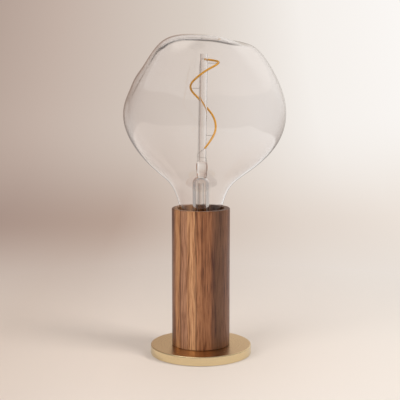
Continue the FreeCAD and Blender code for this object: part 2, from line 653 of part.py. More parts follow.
def dent_depth(x, y, z):
    """How far the dents push the wall in at a place."""
    depth = 0.0
    for azimuth, reach, height, width, deep in GLASS_DENTS:
        angle = math.radians(azimuth)
        gap = (x - reach * math.cos(angle)) ** 2 + (y - reach * math.sin(angle)) ** 2
        depth += deep * math.exp(-(gap + (z - height) ** 2) / width ** 2)
    return depth


def glass_skin(inset):
    """One skin of the glass, with the ring that it starts from.

    A smooth surface, closed round the axis, lies over a net of poles. The skin is the loft
    through its rings."""
    poles, normals = glass_outline()
    angles = [2 * math.pi * column / GLASS_COLUMNS for column in range(GLASS_COLUMNS)]
    # poles of a round spline stand a little outside the circle that it draws
    swell = 3 / (2 + math.cos(2 * math.pi / GLASS_COLUMNS))
    net = []
    for station, ((reach, height), (out, up)) in enumerate(zip(poles, normals)):
        ring = []
        for angle in angles:
            x, y = reach * math.cos(angle), reach * math.sin(angle)
            push = inset + (dent_depth(x, y, height) if station >= ROUND_STATIONS else 0.0)
            radius = swell * (reach - push * out)
            ring.append(FreeCAD.Vector(radius * math.cos(angle), radius * math.sin(angle),
                                       height - push * up))
        net.append(ring)
    # the crown ring and the apex lie in one tilted plane, so the crown has no point
    crown = net[-2]
    level = sum(pole.z for pole in crown) / GLASS_COLUMNS
    radius = math.hypot(crown[0].x, crown[0].y)
    tilt_x = 2 * sum(p.z * math.cos(a) for p, a in zip(crown, angles)) / GLASS_COLUMNS / radius
    tilt_y = 2 * sum(p.z * math.sin(a) for p, a in zip(crown, angles)) / GLASS_COLUMNS / radius
    net[-2] = [FreeCAD.Vector(p.x, p.y, level + tilt_x * p.x + tilt_y * p.y) for p in crown]
    net[-1] = [FreeCAD.Vector(0, 0, level)] * GLASS_COLUMNS
    spans = len(net) - 3
    skin = Part.BSplineSurface()
    skin.buildFromPolesMultsKnots(
        net, [4] + [1] * (spans - 1) + [4], [1] * (GLASS_COLUMNS + 1),
        [knot / spans for knot in range(spans + 1)],
        [knot / GLASS_COLUMNS for knot in range(GLASS_COLUMNS + 1)], False, True, 3, 3)
    rings = [Part.Wire([skin.uIso(band / GLASS_BANDS).toShape()]) for band in range(GLASS_BANDS)]
    middle = Part.Vertex(skin.value(1.0, 0.0))
    return rings[0], Part.makeLoft(rings + [middle], False, True)


def make_glass():
    outer_mouth, outer = glass_skin(0.0)
    inner_mouth, inner = glass_skin(number("glass_wall"))
    rim = Part.makeFace([outer_mouth, inner_mouth], "Part::FaceMakerBullseye")
    shell = Part.makeShell(outer.Faces + inner.Faces + [rim])
    shell.sewShape()
    glass = Part.makeSolid(shell)
    if glass.Volume < 0:
        glass.reverse()
    shape_node("glass_envelope", glass)


# ----------------------------------------------------------- glass mount and filament

def rod_axis(height):
    """Where the leaning rod's axis is across the lamp, at a height."""
    lean = math.tan(math.radians(number("rod_lean")))
    return number("rod_foot_shift") + (height - number("rod_foot")) * lean


def make_mount():
    inner = "flare_dia / 2 - flare_wall"
    flare = turned("flare_blank", [
        ("flare_rim_dia / 2 - flare_wall", "flare_foot"), ("flare_rim_dia / 2", "flare_foot"),
        ("flare_dia / 2", "flare_waist"), *rounded("flare_dia / 2", "flare_top", "flare_round"),
        ("0", "flare_top"), ("0", "flare_top - flare_wall"),
        *reversed(list(rounded(inner, "flare_top - flare_wall", "flare_round - flare_wall"))),
        (inner, "flare_waist")])
    pinch_foot = "(flare_top - flare_wall / 2)"
    pinch = box("pinch_block", "pinch_wide", "pinch_deep", f"pinch_top - {pinch_foot}",
                ("pinch_shift", "0", pinch_foot))
    doc.recompute()
    upright = [index for index, edge in enumerate(pinch.Shape.Edges, start=1)
               if abs(edge.tangentAt(edge.FirstParameter).z) > 0.9]
    smooth = doc.addObject("Part::Fillet", "pinch_round")
    smooth.Base = pinch
    edge_size = number("pinch_edge")
    smooth.Edges = [(index, edge_size, edge_size) for index in upright]
    holes = [cylinder("wire_hole", "wire_dia + wire_play", "pinch_top - flare_top + flare_round",
                      (f"pinch_shift {side} wire_spread", "0", "flare_top - flare_round"))
             for side in ("-", "+")]
    node("flare_tube", cut("flare_tube", fuse("flare_tube", flare, smooth), *holes))
    tube("exhaust_tube", "exhaust_dia", "(exhaust_dia - 2 * exhaust_wall)", "exhaust_foot",
         "exhaust_top")
    rod = turned("support_rod", [
        ("rod_dia / 2 - rod_wall", "0"), ("rod_dia / 2", "0"), ("rod_dia / 2", "rod_long"),
        ("rod_dia / 2 - rod_wall", "rod_long")])
    rod.Placement.Rotation = FreeCAD.Rotation(FreeCAD.Vector(0, 1, 0), number("rod_lean"))
    node("support_rod", bind_place(rod, ("rod_foot_shift", "0", "rod_foot + wire_play")))


def filament_points():
    """The filament's route in the lamp's own frame."""
    points = []
    for azimuth, reach, height in FILAMENT_ROUTE:
        angle = math.radians(azimuth)
        across = rod_axis(height) + reach * math.cos(angle)
        points.append((across, reach * math.sin(angle), height))
    return points


def stub(start, towards, long, diameter):
    """A short round pin from one place towards another."""
    start, towards = FreeCAD.Vector(*start), FreeCAD.Vector(*towards)
    return Part.makeCylinder(diameter / 2, long, start, towards - start)


def make_filament():
    points = filament_points()
    shape_node("led_filament", routed("led_filament", points, number("filament_dia"),
                                      FILAMENT_SIDES))
    long, dia = number("end_cap_long"), number("end_cap_dia")
    ends = []
    for end, near in ((points[0], points[1]), (points[-1], points[-2])):
        away = tuple(2 * a - b for a, b in zip(end, near))
        ends.append(stub(end, away, long, dia))
    shape_node("filament_end_caps", Part.makeCompound(ends))


def make_support_wires():
    wires = []
    path, _ = route(filament_points())
    line = path.discretize(FILAMENT_SAMPLES)
    start = number("rod_dia / 2 + wire_play")
    clear = number("filament_dia / 2 + wire_play")
    for height in SUPPORT_WIRE_HEIGHTS:
        foot = FreeCAD.Vector(rod_axis(height), 0, height)
        held = min(line, key=lambda point: abs(point.z - height))
        along = FreeCAD.Vector(held.x - foot.x, held.y, 0)
        reach = along.Length - clear
        along.normalize()
        wires.append(Part.makeCylinder(number("support_wire_dia / 2"), reach - start,
                                       foot + along * start, along))
    shape_node("support_wires", Part.makeCompound(wires))


def make_lead_wires():
    wire = number("wire_dia")
    shape_node("lead_wires", Part.makeCompound([
        routed("lead_wire", points, wire, WIRE_SIDES) for points in BULB_WIRE_ROUTES]))


# ------------------------------------------------------------------------ everything

make_base()
make_column()
make_column_screws()
make_grommet()
make_dimmer()
make_supply_terminals()
make_touch_terminal()
make_leads()
make_nipple()
make_lampholder()
make_contacts()
make_terminal_screws()
make_cap()
make_glass()
make_mount()
make_filament()
make_support_wires()
make_lead_wires()
doc.recompute()

for thing in doc.Objects:
    if "Invalid" in thing.State or "Error" in thing.State:
        raise RuntimeError(f"{thing.Label} is not sound: {thing.State}")
for label, thing in NODES.items():
    if thing.Shape.isNull() or not thing.Shape.isValid():
        raise RuntimeError(f"{label} has no sound shape")

os.makedirs("parts", exist_ok=True)
for label, thing in NODES.items():
    thing.Shape.exportStep(f"parts/{label}.step")
print(f"{len(NODES)} nodes written")
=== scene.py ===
# %% [markdown]
# # A bare bulb table lamp
#
# The lamp is a walnut column on a thin turned brass disc, with one very large clear bulb let
# into its top. Most of what the eye meets is glass and what the glass does to a pale room, so
# this lesson spends its effort there: a hand blown shape, a calm studio for it to reflect, and
# then wood and brass that look cut by a real tool.
#
# The CAD model is loaded first and is never moved. Whatever is modelled here is in the same
# frame, in metres, and rides on one of its bodies.

# %% Load the CAD model
import math

import bpy
import numpy as np
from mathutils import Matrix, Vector


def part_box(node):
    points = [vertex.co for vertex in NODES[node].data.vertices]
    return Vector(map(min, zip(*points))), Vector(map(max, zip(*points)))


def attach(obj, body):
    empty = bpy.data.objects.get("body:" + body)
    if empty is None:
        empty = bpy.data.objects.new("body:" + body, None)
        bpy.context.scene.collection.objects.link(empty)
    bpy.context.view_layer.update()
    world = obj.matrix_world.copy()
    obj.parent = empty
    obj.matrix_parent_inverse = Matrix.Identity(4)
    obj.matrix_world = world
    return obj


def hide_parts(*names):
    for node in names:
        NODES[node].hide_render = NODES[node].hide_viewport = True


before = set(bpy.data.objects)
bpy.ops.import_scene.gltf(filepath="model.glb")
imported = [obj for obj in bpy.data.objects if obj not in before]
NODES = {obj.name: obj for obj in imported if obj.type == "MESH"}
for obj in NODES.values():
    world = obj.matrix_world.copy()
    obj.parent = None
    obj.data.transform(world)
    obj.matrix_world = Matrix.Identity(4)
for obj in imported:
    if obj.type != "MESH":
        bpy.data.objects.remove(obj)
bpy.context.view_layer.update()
MM = 0.001

# %% [markdown]
# ## Small helpers
#
# Colours are written as the hex values that a colour picker shows. Those are sRGB, and a shader
# wants linear light, so one function turns one into the other. One more function adds a shader
# node and sets or links its inputs, which keeps each material short enough to read as a recipe.

# %% Colours and shader nodes
def linear(hex_colour):
    """A hex sRGB colour as linear red, green, blue and alpha."""
    values = []
    for start in (1, 3, 5):
        value = int(hex_colour[start:start + 2], 16) / 255
        values.append(value / 12.92 if value <= 0.04045 else ((value + 0.055) / 1.055) ** 2.4)
    return (*values, 1.0)


def add(tree, kind, inputs=None, **settings):
    """Add a shader node. Each input is a value, or the socket that feeds it."""
    node = tree.nodes.new("ShaderNode" + kind)
    for name, value in settings.items():
        setattr(node, name, value)
    for name, value in (inputs or {}).items():
        if isinstance(value, bpy.types.NodeSocket):
            tree.links.new(value, node.inputs[name])
        else:
            node.inputs[name].default_value = value
    return node


def surface(name, **values):
    """A new material, its node tree and its Principled shader, with values on its sockets."""
    made = bpy.data.materials.new(name)
    made.use_nodes = True
    shader = made.node_tree.nodes["Principled BSDF"]
    for socket, value in values.items():
        shader.inputs[socket.replace("_", " ")].default_value = value
    return made, made.node_tree, shader


def ramp(tree, factor, stops, interpolation="LINEAR"):
    """A colour ramp from (place, hex colour) stops. Returns its colour output."""
    node = add(tree, "ValToRGB", {"Fac": factor})
    node.color_ramp.interpolation = interpolation
    keys = node.color_ramp.elements
    while len(keys) < len(stops):
        keys.new(0.5)
    for key, (place, colour) in zip(keys, stops):
        key.position = place
        key.color = linear(colour)
    return node.outputs["Color"]


print("mid grey in linear light:", round(linear("#808080")[0], 3))

# %% [markdown]
# ## Pieces made in mesh code
#
# A turned piece is a profile swept round the axis. Sweeping it in code gives clean rings of
# quads and lets a corner be sharp or soft where the lathe would leave it so. Every piece is
# then dressed: it gets its material, it is hung on the body it rides on, and the CAD nodes it
# stands for are hidden.

# %% Lathe, grid and dress
def mesh_piece(name, points, faces, sharp_degrees=30):
    """A smooth shaded mesh object from points in metres."""
    mesh = bpy.data.meshes.new(name)
    mesh.from_pydata([tuple(point) for point in points], [], faces)
    mesh.update()
    mesh.polygons.foreach_set("use_smooth", [True] * len(mesh.polygons))
    mesh.set_sharp_from_angle(angle=math.radians(sharp_degrees))
    piece = bpy.data.objects.new(name, mesh)
    bpy.context.scene.collection.objects.link(piece)
    return piece


def grid_faces(rows, columns, start=0):
    """Quads over rows of points that close round the axis."""
    faces = []
    for row in range(rows - 1):
        for column in range(columns):
            after = (column + 1) % columns
            low, high = start + row * columns, start + (row + 1) * columns
            faces.append((low + column, low + after, high + after, high + column))
    return faces


def turned(name, profile_mm, steps=128, centre_mm=(0.0, 0.0)):
    """A closed profile of (radius, height) corners, turned about an upright axis."""
    loop = list(profile_mm) + [profile_mm[0]]
    angles = [2 * math.pi * step / steps for step in range(steps)]
    points = [((centre_mm[0] + radius * math.cos(angle)) * MM,
               (centre_mm[1] + radius * math.sin(angle)) * MM, height * MM)
              for radius, height in loop for angle in angles]
    return mesh_piece(name, points, grid_faces(len(loop), steps))


def dress(piece, material, body, replaced=()):
    """Give a piece its material and its body, and hide the nodes it stands for."""
    piece.data.materials.clear()
    piece.data.materials.append(material)
    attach(piece, body)
    if replaced:
        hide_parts(*replaced)
    return piece


def paint(material, *nodes):
    """Give CAD nodes a material in place of their plain one."""
    for node in nodes:
        for slot in NODES[node].material_slots:
            slot.material = material
    print(material.name, "on", ", ".join(nodes))


print("helpers ready")

# %% [markdown]
# ## Camera
#
# The camera was solved from ellipses: the disc and the column's rim are circles, and the way
# that they flatten gives the height of the lens and its tilt. It stands about 1.2 m away, level
# with the upper part of the bulb, and looks down by a little under 8 degrees, on a long lens,
# so the column's sides stay nearly parallel.

# %% Place the camera
CAMERA_PLACE = (-0.00105, -1.1919, 0.3465)
CAMERA_TILT_DEGREES = 7.742
LENS_MM = 91.96
SENSOR_MM = 36.0

camera_data = bpy.data.cameras.new("camera")
camera_data.lens = LENS_MM
camera_data.sensor_width = SENSOR_MM
camera = bpy.data.objects.new("camera", camera_data)
camera.location = CAMERA_PLACE
camera.rotation_euler = (math.radians(90 - CAMERA_TILT_DEGREES), 0, 0)
bpy.context.scene.collection.objects.link(camera)
bpy.context.scene.camera = camera
bpy.context.scene.view_settings.view_transform = "Standard"
print("camera height, mm:", CAMERA_PLACE[2] / MM)

# %% [markdown]
# ## The studio
#
# Clear glass has no colour of its own. It shows the room, bent or mirrored, so the room has to
# be right before the glass can be. It is a wide round sweep: a floor that curves up into a wall
# with no corner. Light and shade are painted on it: warm grey on the left, nearly white on the
# right as if lit from that side, and a painted shade where the floor turns up. A sweep that goes
# all the way round looks calm from every side.
#
# The camera, and whatever is seen straight through glass, gets the painted colours as they are.
# Part of the floor near the lamp is an ordinary matt surface as well, so it holds a shadow.

# %% Sweep shape
FLOOR_RADIUS = 1.05
COVE_RADIUS = 2.2
WALL_TOP = 3.6
SWEEP_STEPS = 96
FLOOR_RINGS = (0.0, 0.25, 0.5, 0.75)
COVE_STEPS = 24

sweep_profile = [(radius, 0.0) for radius in FLOOR_RINGS]
for step in range(COVE_STEPS + 1):
    turn = math.radians(90 * step / COVE_STEPS)
    sweep_profile.append((FLOOR_RADIUS + COVE_RADIUS * math.sin(turn),
                          COVE_RADIUS * (1 - math.cos(turn))))
sweep_profile.append((FLOOR_RADIUS + COVE_RADIUS, WALL_TOP))
sweep_points = []
for radius, height in sweep_profile:
    for step in range(SWEEP_STEPS):
        angle = 2 * math.pi * step / SWEEP_STEPS
        sweep_points.append((radius * math.cos(angle), radius * math.sin(angle), height))
sweep = mesh_piece("studio_sweep", sweep_points,
                   grid_faces(len(sweep_profile), SWEEP_STEPS), sharp_degrees=180)
print("sweep width, m:", 2 * (FLOOR_RADIUS + COVE_RADIUS))

# %% Sweep colours
NEAR_HALF_WIDTH = 0.25
COVE_HALF_WIDTH = 0.45
WALL_HALF_WIDTH = 0.80
# from front to back, where one set of colours gives way to the next
NEAR_TO_COVE = (-0.05, 1.0)
COVE_TO_WALL = (1.0, 1.9)

sweep_paint, tree, shader = surface("studio_paint", Roughness=0.9, Specular_IOR_Level=0.1)
place = add(tree, "SeparateXYZ", {"Vector": add(tree, "TexCoord").outputs["Object"]})


def painted_across(half_width, stops):
    """Colours from left to right over a strip of the sweep, half_width metres each side."""
    share = add(tree, "MapRange", {
        "Value": place.outputs["X"], "From Min": -half_width, "From Max": half_width})
    return ramp(tree, share.outputs["Result"], stops)


def blended(source, start, end, before, after):
    """One colour before start and another after end, along a value."""
    share = add(tree, "MapRange", {"Value": source, "From Min": start, "From Max": end})
    share.interpolation_type = "SMOOTHSTEP"
    return add(tree, "Mix", {"Factor": share.outputs["Result"], "A": before, "B": after},
               data_type="RGBA").outputs["Result"]


# painted light and shade: each strip runs from darker on the left to paler on the right, as if
# lit from the right, and the turn-up strip is painted darker
near_floor = painted_across(NEAR_HALF_WIDTH, [
    (0.0, "#D8CABF"), (0.3, "#E1D6CD"), (0.5, "#E0D7CF"), (0.75, "#E8E0D9"), (1.0, "#EBE4DD")])
turn_up = painted_across(COVE_HALF_WIDTH, [
    (0.0, "#A99388"), (0.3, "#B7A194"), (0.5, "#D2C2B6"), (0.75, "#E2D6CC"), (1.0, "#ECE2D9")])
wall = painted_across(WALL_HALF_WIDTH, [
    (0.0, "#AE9A8F"), (0.2, "#C3B1A6"), (0.5, "#DACFC5"), (0.72, "#F5F0EB"), (1.0, "#FDFAF7")])
behind = blended(place.outputs["Y"], *COVE_TO_WALL, turn_up, wall)
painted = blended(place.outputs["Y"], *NEAR_TO_COVE, near_floor, behind)
tree.links.new(painted, shader.inputs["Base Color"])
print("painted strips are", 2 * NEAR_HALF_WIDTH, "to", 2 * WALL_HALF_WIDTH, "m wide")

# %% [markdown]
# ## What reflections see
#
# A bright room all round would wash the glass out: it draws its outline by reflecting something
# dimmer than what stands behind it. So any ray that has been mirrored meets another paint, with
# light and shade painted into it: a table painted brighter a little way from the lamp, where the
# panels would light it, which ends less than a metre from it, a studio past its edge painted dim,
# and a wall behind the lamp painted a little darker than the camera sees. Rays that only pass
# through are left alone.

# %% Reflected room
TABLE_REACH = 0.80
TABLE_EDGE_BLUR = 0.05           # on each side of the table's edge
TABLE_BRIGHTENS = (0.16, 0.32)   # from the lamp's middle outwards
TABLE_GAIN = (1.22, 1.27, 1.32, 1.0)
STUDIO_SIDES = (-1.5, 1.5)       # from the dim left to the paler right
STUDIO_TO_WALL = (0.6, 2.4)

# painted shade: the studio past the table's edge is painted dim for mirrored rays
dim_side = blended(place.outputs["X"], *STUDIO_SIDES, linear("#A39D99"), linear("#BAB3AE"))
# painted shade: the wall behind the lamp is painted a little darker for mirrored rays
darker_wall_in_reflections = add(tree, "Mix", {"Factor": 1.0, "A": painted, "B": linear("#F0ECE8")},
                data_type="RGBA", blend_type="MULTIPLY").outputs["Result"]
room_wall = blended(place.outputs["Y"], *STUDIO_TO_WALL, dim_side, darker_wall_in_reflections)
from_middle = add(tree, "VectorMath", {
    0: add(tree, "TexCoord").outputs["Object"]}, operation="LENGTH").outputs["Value"]
# painted light: the table seen in reflections is painted brighter where the panels would light it
lit_table = add(tree, "Mix", {"Factor": 1.0, "A": near_floor, "B": TABLE_GAIN},
                data_type="RGBA", blend_type="MULTIPLY").outputs["Result"]
table = blended(from_middle, *TABLE_BRIGHTENS, near_floor, lit_table)
room_seen = blended(from_middle, TABLE_REACH - TABLE_EDGE_BLUR, TABLE_REACH + TABLE_EDGE_BLUR,
                    table, room_wall)
print("the reflected table ends", TABLE_REACH, "m from the lamp")

# %% Which ray sees what
SHADOW_SHARE = 0.80           # how much of the floor near the lamp is ordinary matt paint
SHADOW_FADES = (0.10, 0.55)   # from the lamp's middle outwards

ray = add(tree, "LightPath")
mirrored = add(tree, "Math", {0: ray.outputs["Glossy Depth"], 1: 0.5}, operation="GREATER_THAN")
shown_colour = add(tree, "Mix", {
    "Factor": mirrored.outputs["Value"], "A": painted, "B": room_seen}, data_type="RGBA")
glow = add(tree, "Emission", {"Color": shown_colour.outputs["Result"], "Strength": 1.0})

camera_or_mirror = add(tree, "Math", {
    0: ray.outputs["Is Camera Ray"], 1: ray.outputs["Is Glossy Ray"]}, operation="MAXIMUM")
shown = add(tree, "Math", {
    0: camera_or_mirror.outputs["Value"], 1: ray.outputs["Is Transmission Ray"]},
    operation="MAXIMUM")
far = add(tree, "MapRange", {
    "Value": from_middle, "From Min": SHADOW_FADES[0], "From Max": SHADOW_FADES[1],
    "To Min": 1 - SHADOW_SHARE, "To Max": 1.0})
share = add(tree, "Math", {
    0: shown.outputs["Value"], 1: far.outputs["Result"]}, operation="MULTIPLY")
both = add(tree, "MixShader", {
    0: share.outputs["Value"], 1: shader.outputs["BSDF"], 2: glow.outputs["Emission"]})
tree.links.new(both.outputs["Shader"], tree.nodes["Material Output"].inputs["Surface"])
sweep.data.materials.append(sweep_paint)
print("sweep painted")

# %% [markdown]
# ## Light
#
# Three large soft panels and a pale room. The key light stands at the front right, so the lamp's
# shadow falls gently to the left and back. A wider one on the left fills the wood, and a weak
# one hangs overhead. Hard shapes in the glass would give the panels away, so they light the
# lamp without showing in reflections, and a soft patch of ceiling gives the brass its glint.
# A ray that has been through the glass doesn't meet that patch, or it would leave a white blot.

# %% Panels
def soft_panel(name, place, aim, size, watts, colour):
    """A rectangular soft light at a place, turned to an aim point, unseen in reflections."""
    data = bpy.data.lights.new(name, "AREA")
    data.shape = "RECTANGLE"
    data.size, data.size_y = size
    data.energy = watts
    data.color = linear(colour)[:3]
    panel = bpy.data.objects.new(name, data)
    panel.location = place
    towards = Vector(aim) - Vector(place)
    panel.rotation_euler = towards.to_track_quat("-Z", "Y").to_euler()
    panel.visible_glossy = False
    panel.visible_transmission = False
    bpy.context.scene.collection.objects.link(panel)
    return panel


LAMP_MIDDLE = (0.0, 0.0, 0.2)
# name, place, size, watts, colour
PANELS = [("key_panel", (1.35, -0.75, 1.15), (0.7, 0.7), 25.0, "#FFFBF6"),
          ("fill_panel", (-1.2, -1.3, 0.9), (1.2, 1.2), 22.0, "#FFFCF8"),
          ("top_panel", (-0.2, 0.2, 1.9), (1.4, 1.2), 5.5, "#FFFFFF")]
for name, stand, size, watts, colour in PANELS:
    soft_panel(name, stand, LAMP_MIDDLE, size, watts, colour)
print("lights:", [light.name for light in bpy.data.lights])

# %% Room light
ROOM_STRENGTH = 0.45
CEILING_STRENGTH = 0.50
GLINT_STRENGTH = 2.6
GLINT_TOWARDS = Vector((-0.33, -0.12, 0.92)).normalized()
GLINT_COSINES = (0.93, 0.985)   # of the angles at which the patch starts and is at its full

world = bpy.data.worlds.new("room")
world.use_nodes = True
bpy.context.scene.world = world
tree = world.node_tree
room = tree.nodes["Background"]
room.inputs["Color"].default_value = linear("#F4EEE8")
ray = add(tree, "LightPath")
facing = add(tree, "VectorMath", {
    0: add(tree, "TexCoord").outputs["Generated"], 1: tuple(GLINT_TOWARDS)},
    operation="DOT_PRODUCT")
glint = add(tree, "MapRange", {
    "Value": facing.outputs["Value"], "From Min": GLINT_COSINES[0],
    "From Max": GLINT_COSINES[1], "To Min": CEILING_STRENGTH, "To Max": GLINT_STRENGTH})
glint.interpolation_type = "SMOOTHSTEP"
in_glass = add(tree, "Math", {0: ray.outputs["Transmission Depth"], 1: 0.5},
               operation="GREATER_THAN")
overhead = add(tree, "Mix", {
    "Factor": in_glass.outputs["Value"], "A": glint.outputs["Result"], "B": CEILING_STRENGTH},
    data_type="FLOAT")
strength = add(tree, "Mix", {
    "Factor": ray.outputs["Is Glossy Ray"], "A": ROOM_STRENGTH,
    "B": overhead.outputs["Result"]}, data_type="FLOAT")
tree.links.new(strength.outputs["Result"], room.inputs["Strength"])
print("room and glint strengths:", ROOM_STRENGTH, GLINT_STRENGTH)

# %% [markdown]
# ## Walnut column
#
# The column is one billet of black walnut, turned on a lathe, bored out, sanded and oiled. Its
# growth rings run up the column as upright stripes from pinkish tan to dark chocolate, with
# short dark pores along them. The rings are nearly flat sheets at this size, so the colour is
# read from the distance across the billet, bent a little by slow noise. The same stripes then
# come out right on the front, the back and the end grain of the rim. The band tones are partly
# the wood's own figure and partly painted shade: they make the column lighter on the left and
# darker on the right.

# %% Growth bands and painted shade
HALF_BILLET_MM = 34.3
PALE, TAN, HONEY, MIDDLE = "#BC9069", "#A47A5E", "#B2835A", "#9F704D"
BROWN, UMBER, DARK = "#855838", "#6B452D", "#5C3C26"
# (place across in mm, tone), from the left of the column to the right
# painted shade, besides the wood's own figure: the tones run lighter left of the middle and
# darker towards the right
GROWTH_AND_SHADE_BANDS = [
    (-34.3, UMBER), (-31.0, BROWN), (-29.5, HONEY), (-25.0, HONEY), (-23.8, UMBER),
    (-22.5, TAN), (-17.0, TAN), (-15.0, PALE), (-7.0, PALE), (-6.0, DARK), (-4.8, MIDDLE),
    (4.0, BROWN), (11.0, BROWN), (13.5, UMBER), (18.0, DARK), (25.0, DARK), (29.0, UMBER),
    (34.3, UMBER)]
FIGURE_WIDTH_MM = 22.0
FIGURE_LENGTH_MM = 90.0
WANDER_MM = 1.8          # how far the noise moves a band to either side

walnut, tree, shader = surface("oiled_walnut", Roughness=0.42, IOR=1.47, Coat_Weight=0.12,
                               Coat_Roughness=0.28)
grain = add(tree, "TexCoord").outputs["Object"]
slow = add(tree, "Mapping", {
    "Vector": grain,
    "Scale": (1 / (FIGURE_WIDTH_MM * MM), 1 / (FIGURE_WIDTH_MM * MM),
              1 / (FIGURE_LENGTH_MM * MM))})
figure = add(tree, "TexNoise", {
    "Vector": slow.outputs["Vector"], "Scale": 1.0, "Detail": 2.0, "Roughness": 0.5})
wander = add(tree, "MapRange", {
    "Value": figure.outputs["Fac"], "To Min": -WANDER_MM * MM,
    "To Max": WANDER_MM * MM})
across = add(tree, "SeparateXYZ", {"Vector": grain})
bent = add(tree, "Math", {
    0: across.outputs["X"], 1: wander.outputs["Result"]}, operation="ADD")
band = add(tree, "MapRange", {
    "Value": bent.outputs["Value"], "From Min": -HALF_BILLET_MM * MM,
    "From Max": HALF_BILLET_MM * MM})
bands = ramp(tree, band.outputs["Result"], [
    ((place + HALF_BILLET_MM) / (2 * HALF_BILLET_MM), colour)
    for place, colour in GROWTH_AND_SHADE_BANDS])
print("growth bands:", len(GROWTH_AND_SHADE_BANDS))

# %% Pores and veins
# real pores are a few tenths of a millimetre wide: they are drawn wider and longer, to show
PORE_WIDTH_MM = 0.55
PORE_LENGTH_MM = 24.0
PORE_DEPTH_MM = 0.08
PORE_TO_WOOD = (0.36, 0.54)     # noise values: pore below the first, plain wood above the second
PORE_ROUGHNESS = 0.62
WOOD_ROUGHNESS = 0.40
VEIN_WIDTH_MM = 3.0
VEIN_LENGTH_MM = 110.0


def grain_noise(width_mm, length_mm, detail):
    """Noise drawn out along the grain."""
    drawn = add(tree, "Mapping", {"Vector": grain, "Scale": (
        1 / (width_mm * MM), 1 / (width_mm * MM), 1 / (length_mm * MM))})
    return add(tree, "TexNoise", {"Vector": drawn.outputs["Vector"], "Scale": 1.0,
                                  "Detail": detail, "Roughness": 0.6}).outputs["Fac"]


plain_wood = add(tree, "MapRange", {
    "Value": grain_noise(PORE_WIDTH_MM, PORE_LENGTH_MM, 3.0), "From Min": PORE_TO_WOOD[0],
    "From Max": PORE_TO_WOOD[1]}).outputs["Result"]
pore_tint = ramp(tree, plain_wood, [
    (0.0, "#94796A"), (0.5, "#E4D8CF"), (1.0, "#FFFFFF")])
vein_tint = ramp(tree, grain_noise(VEIN_WIDTH_MM, VEIN_LENGTH_MM, 1.0), [
    (0.0, "#FFFFFF"), (0.56, "#FFFFFF"), (0.62, "#A88A78"), (0.66, "#F4EEE8"), (0.75, "#E8DCD2")])
veined = add(tree, "Mix", {"Factor": 1.0, "A": bands, "B": vein_tint},
             data_type="RGBA", blend_type="MULTIPLY").outputs["Result"]
wood_colour = add(tree, "Mix", {"Factor": 1.0, "A": veined, "B": pore_tint},
                  data_type="RGBA", blend_type="MULTIPLY")
tree.links.new(wood_colour.outputs["Result"], shader.inputs["Base Color"])
gloss = add(tree, "MapRange", {
    "Value": plain_wood, "To Min": PORE_ROUGHNESS, "To Max": WOOD_ROUGHNESS})
tree.links.new(gloss.outputs["Result"], shader.inputs["Roughness"])
dimple = add(tree, "Bump", {
    "Height": plain_wood, "Strength": 0.35, "Distance": PORE_DEPTH_MM * MM})
tree.links.new(dimple.outputs["Normal"], shader.inputs["Normal"])
paint(walnut, "wood_column")

# %% [markdown]
# ## Brass disc
#
# The foot is a solid brass disc, faced and turned, then brushed with fine abrasive while it
# spins, so its scratches are rings. It is satin rather than bright: a blurred mirror that goes
# pale where it faces a light and takes the wood's brown just in front of the column. The top
# edge is rounded a little and polished, and catches a bright line.

# %% Disc shape
def arc(centre, radius, start_degrees, end_degrees, steps=6):
    """Points round an arc, in the profile's plane."""
    for step in range(steps + 1):
        turn = math.radians(start_degrees + (end_degrees - start_degrees) * step / steps)
        yield (centre[0] + radius * math.cos(turn), centre[1] + radius * math.sin(turn))


disc_low, disc_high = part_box("base_disc")
DISC_RADIUS_MM = disc_high[0] / MM
DISC_TOP_MM = disc_high[2] / MM
DISC_FOOT_MM = disc_low[2] / MM
AXIS_RADIUS_MM = 0.02    # a profile ends this far from the axis, so its faces stay quads
POCKET_RADIUS_MM = 54.0
POCKET_TOP_MM = 1.6
TOP_EDGE_MM = 1.2
FOOT_EDGE_MM = 0.5
EDGE_RING_MM = 0.5       # a ring this far from the rounding keeps the flats flat
FACE_RINGS_MM = (40.0, 20.0)
disc = turned("brass_disc", [
    (AXIS_RADIUS_MM, POCKET_TOP_MM), (POCKET_RADIUS_MM, POCKET_TOP_MM),
    (POCKET_RADIUS_MM, DISC_FOOT_MM),
    *arc((DISC_RADIUS_MM - FOOT_EDGE_MM, DISC_FOOT_MM + FOOT_EDGE_MM), FOOT_EDGE_MM, -90, 0),
    (DISC_RADIUS_MM, DISC_TOP_MM - TOP_EDGE_MM - EDGE_RING_MM),
    *arc((DISC_RADIUS_MM - TOP_EDGE_MM, DISC_TOP_MM - TOP_EDGE_MM), TOP_EDGE_MM, 0, 90),
    *((radius, DISC_TOP_MM) for radius in (
        DISC_RADIUS_MM - TOP_EDGE_MM - EDGE_RING_MM, *FACE_RINGS_MM, AXIS_RADIUS_MM))],
    steps=192)
print("disc radius and top, mm:", round(DISC_RADIUS_MM, 2), round(DISC_TOP_MM, 2))

# %% Brushed brass
RING_PITCH_MM = 0.7      # the real scratches are finer and would not show at this distance
SATIN_ROUGHNESS = (0.24, 0.36)
POLISHED_ROUGHNESS = 0.18
POLISH_STARTS_MM = 0.05  # below the face
POLISH_FULL_MM = 0.25

